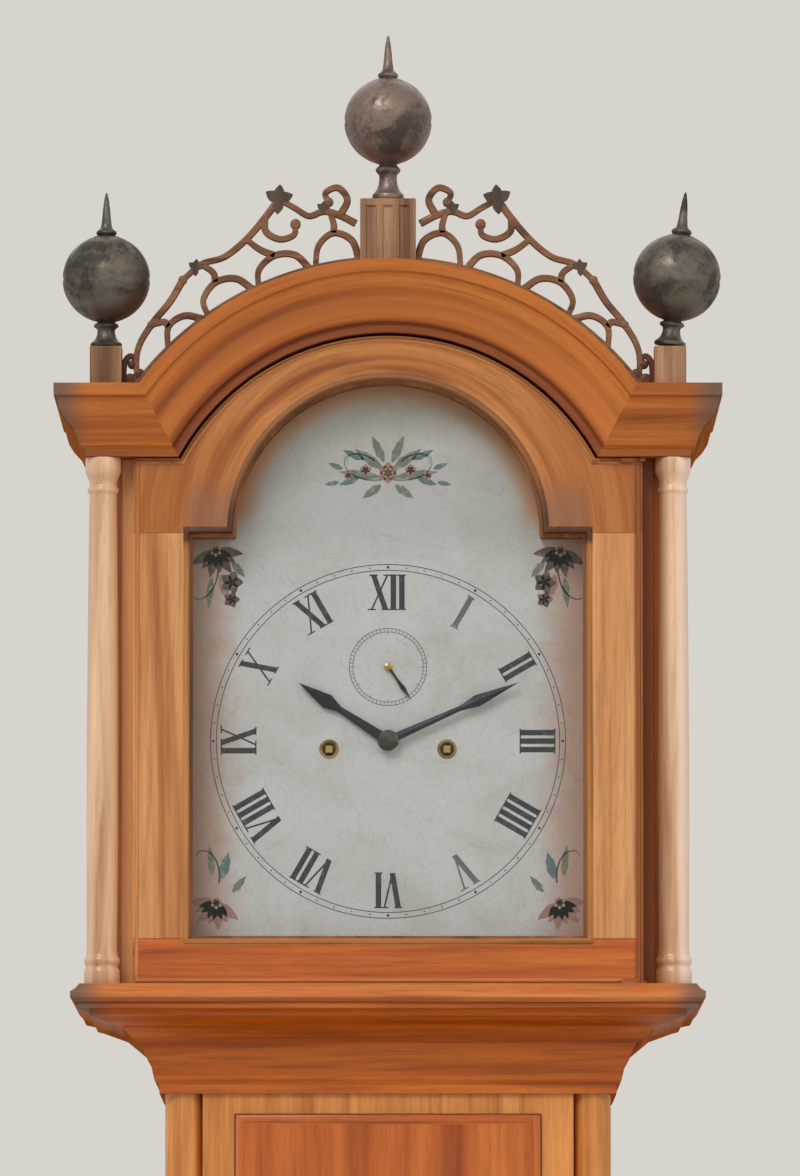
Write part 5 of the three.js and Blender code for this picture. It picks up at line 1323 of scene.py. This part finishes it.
# A boss's profile: (radius, height)
MINUTE_BOSS = [
    (0, 0), (0.0078, 0), (0.0080, 0.0003), (0.0078, 0.0006), (0.0060, 0.0009), (0.0052, 0.0016),
    (0.0046, 0.0020), (0.0030, 0.0022), (0, 0.0022),
]
MINUTE_BOSS_Y = -0.0677
SECONDS_BOSS = [(0, 0), (0.0027, 0), (0.0028, 0.0003), (0.0020, 0.0007), (0.0012, 0.0009), (0, 0.0009)]
SECONDS_BOSS_Y = -0.0629


def hand_rib(name, body, angle, z, y, lines):
    out, across = bearings(angle)
    rings = []
    for along, half, rise in lines:
        middle = Vector((0, z)) + out * along
        left, right = middle - across * half, middle + across * half
        rings.append([Vector((p.x, y - up, p.y)) for p, up in ((left, 0), (middle, rise), (right, 0))])
    Shape().ring_grid(rings).add(name, BLUED_STEEL, body, "blued_steel", 20)


def boss(name, body, z, y, profile, material, slot):
    Shape().turned(profile, 32, facing(0, y, z)).add(name, material, body, slot, 40)


def build_hands():
    hand_rib("minute_hand_rib", "minute_hand_arbor", MINUTE_ANGLE, CENTRE_Z, MINUTE_Y, MINUTE_RIB)
    hand_rib("hour_hand_rib", "hour_hand_pipe", HOUR_ANGLE, CENTRE_Z, HOUR_Y, HOUR_RIB)
    hand_rib("seconds_hand_rib", "escape_arbor", SECONDS_ANGLE, SECONDS_Z, SECONDS_Y, SECONDS_RIB)
    boss("minute_hand_boss", "minute_hand_arbor", CENTRE_Z, MINUTE_BOSS_Y, MINUTE_BOSS, AGED, "aged_brass")
    boss("seconds_hand_boss", "escape_arbor", SECONDS_Z, SECONDS_BOSS_Y, SECONDS_BOSS, BRASS, "brass")


# Waist door: a moulded edge, and brass hinge barrels with turned ends

WAIST_EDGE_PROFILE = [
    (0, -0.0020), (0, -0.0003), (-0.0007, 0.0004), (-0.0020, 0.0009), (-0.0040, 0.0010),
    (-0.0056, 0.0006), (-0.0060, 0), (-0.0072, 0.0001), (-0.0072, -0.0010),
]
HINGE_X = 0.1149
HINGE_Y = -0.0598
HINGE_HEIGHTS = (0.7722, 1.4052)
BARREL_LENGTH = 0.018
BARREL_GAP = 0.0003
BARREL = [(0, 0), (0.0036, 0), (0.0039, 0.0006), (0.0039, 0.0174), (0.0036, BARREL_LENGTH)]
HINGE_TIP = [
    (0.0026, 0.0186), (0.0024, 0.0192), (0.0032, 0.0202), (0.0034, 0.0214), (0.0028, 0.0226),
    (0.0014, 0.0234), (0, 0.0236),
]


def build_waist_trim():
    low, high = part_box("waist_door")
    half = WAIST_DOOR_HALF
    path = [(-half, low.z), (half, low.z), (half, high.z), (-half, high.z)]
    edge = "waist_door_moulded_edge"
    moulding(edge, path, WAIST_EDGE_PROFILE, WAIST_DOOR_FRONT_Y, WAIST_EDGE, "waist_door", "cherry_wood")
    for number, z in enumerate(HINGE_HEIGHTS, 1):
        barrel = Shape().turned(BARREL + [(0, BARREL_LENGTH)], 24, Matrix.Translation((HINGE_X, HINGE_Y, z)))
        barrel.add(f"waist_hinge_barrel_{number}", BRASS_FITTING, "waist_door", "brass", 40)
        ends = Shape()
        under = Matrix.Translation((HINGE_X, HINGE_Y, z - BARREL_GAP)) @ Matrix.Rotation(math.pi, 4, "X")
        over = Matrix.Translation((HINGE_X, HINGE_Y, z + BARREL_LENGTH + BARREL_GAP))
        for place in (under, over):
            ends.turned(BARREL + HINGE_TIP, 24, place)
        ends.add(f"waist_hinge_ends_{number}", BRASS_FITTING, "case", "brass", 40)


# Movement: nuts and screws on its plates, and the lines' turns, straight runs, bights and knots

PLATE_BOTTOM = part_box("front_plate")[0].z
PLATE_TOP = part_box("front_plate")[1].z
PLATE_FRONT_Y = -0.0247
PILLAR_X = 0.054
PILLAR_INSET = 0.014
NUT_R = 0.0042
NUT_SHARES = [(0, -0.0002), (1, -0.0002), (1, 0.0009), (0.8, 0.0014), (0, 0.0015)]
COCK_SCREW = [(0, -0.0002), (0.0024, -0.0002), (0.0024, 0.0008), (0.0018, 0.0012), (0, 0.0012)]
COCK_SCREW_X = 0.006
COCK_REAR_Y = 0.0673
COCK_SCREW_DROP = 0.005

LINE_R = 0.0009
DRUM_LINE_R = 0.0229
DRUM_TURNS = 4
DRUM_PITCH = 0.00205
BIGHT_R = 0.0187
BIGHT_Z = 0.371
PULLEYS = {"going": 0.0399, "strike": -0.0489}
KNOT_R = 0.0022
KNOT_TOP = 0.001
KNOT_BOTTOM = -0.002


def build_movement_details():
    nuts = Shape()
    for x in (-PILLAR_X, PILLAR_X):
        for z in (PLATE_BOTTOM + PILLAR_INSET, PLATE_TOP - PILLAR_INSET):
            nuts.turned([(share * NUT_R, up) for share, up in NUT_SHARES], 20, facing(x, PLATE_FRONT_Y, z))
    nuts.add("front_plate_pillar_nuts", POLISHED_STEEL, "case", "blued_steel")
    screws = Shape()
    for x in (-COCK_SCREW_X, COCK_SCREW_X):
        screws.turned(COCK_SCREW, 16, facing(x, COCK_REAR_Y, PLATE_TOP - COCK_SCREW_DROP, back=True))
    screws.add("cock_screws", POLISHED_STEEL, "case", "blued_steel")
    for name, x in (("going", WINDING_X), ("strike", -WINDING_X)):
        steps = 24
        points = []
        for turn in (i / steps for i in range(DRUM_TURNS * steps + 1)):
            angle = math.pi + turn * math.tau
            out, up = DRUM_LINE_R * math.cos(angle), DRUM_LINE_R * math.sin(angle)
            points.append((x + out, DRUM_PITCH * turn, WINDING_Z + up))
        Shape().tube(points, LINE_R, 6).add(f"{name}_line_turns", GUT, f"{name}_barrel_arbor", "gut_line")


def strand(name, node):
    """A line's straight run: a tube up the middle of the node's box, in place of the node"""
    low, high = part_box(node)
    x, y, _ = centre(node)
    length = high.z - low.z
    steps = 60
    shape = Shape().tube([(x, y, low.z + length * i / steps) for i in range(steps + 1)], LINE_R)
    piece = shape.add(name, GUT, "case", "gut_line", replaces=[node])
    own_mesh(piece)


def build_lines():
    seat_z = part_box("seatboard")[0].z
    for name, x in PULLEYS.items():
        for run in ("barrel", "hook"):
            strand(f"{name}_{run}_strand", f"{name}_{run}_line")
        bend = [(x + BIGHT_R * math.cos(a), 0, BIGHT_Z - BIGHT_R * math.sin(a)) for a in angles(24, math.pi)]
        Shape().tube(bend, LINE_R).add(f"{name}_line_bight", GUT, f"{name}_weight_body", "gut_line")
        ends = [(x + BIGHT_R, 0, seat_z + up) for up in (KNOT_TOP, KNOT_BOTTOM)]
        Shape().tube(ends, KNOT_R, 12).add(f"{name}_line_knot", GUT, "case", "gut_line")


# Floor, world and lamps

FLOOR_R = 60
BACKGROUND = srgb(215, 212, 205)
FILL_COLOUR = (1, 0.985, 0.96, 1)
FILL_STRENGTH = 0.5


def make_floor():
    graph = Graph("floor")
    mottle = graph.noise(graph.place, 0.8, 3.0)
    colour = graph.ramp(mottle, [(0.3, srgb(216, 213, 206)), (0.7, srgb(218, 215, 208))])
    graph.finish(colour, 0.9, {"Specular IOR Level": 0.1})
    steps = 64
    mesh = bpy.data.meshes.new("floor")
    mesh.from_pydata([(x, y, 0) for x, y in circle(FLOOR_R, steps)], [], [tuple(range(steps))])
    mesh.materials.append(graph.material)
    link("floor", mesh)


def make_world():
    """A dim fill on the object; the camera, and rays through gloss and glass, see the pale background"""
    world = bpy.data.worlds.new("studio")
    world.use_nodes = True
    tree = world.node_tree
    tree.nodes.clear()
    rays = tree.nodes.new("ShaderNodeLightPath").outputs
    seen = rays["Is Camera Ray"]
    for name in ("Is Glossy Ray", "Is Transmission Ray"):
        seen = put(tree, "Math", {0: seen, 1: rays[name]}, operation="MAXIMUM")
    fill = put(tree, "Background", {"Color": FILL_COLOUR, "Strength": FILL_STRENGTH})
    shown = put(tree, "Background", {"Color": BACKGROUND, "Strength": 1.0})
    put(tree, "OutputWorld", {0: put(tree, "MixShader", {0: seen, 1: fill, 2: shown})})
    bpy.context.scene.world = world


def make_sun(name, azimuth, elevation, strength, softness):
    """A soft sun that shines from an azimuth (0 in front, 90 at the right) and an elevation"""
    data = bpy.data.lights.new(name, "SUN")
    data.energy = strength
    data.angle = math.radians(softness)
    a, e = math.radians(azimuth), math.radians(elevation)
    source = Vector((math.sin(a) * math.cos(e), -math.cos(a) * math.cos(e), math.sin(e)))
    aim(link(name, data), source, "Z")


make_camera()
dress_cad()
build_colonettes()
build_centre_plinth()
build_finials()
build_frets()
build_numerals()
build_tracks()
build_sprays()
build_collets()
build_hands()
build_hood_trim()
build_waist_trim()
build_movement_details()
build_lines()
make_floor()
make_world()
make_sun("key", azimuth=-26, elevation=38, strength=1.48, softness=30)
make_sun("fill", azimuth=42, elevation=15, strength=0.4, softness=50)
make_sun("rear", azimuth=180, elevation=40, strength=0.6, softness=60)
bpy.context.scene.view_settings.view_transform = "Standard"
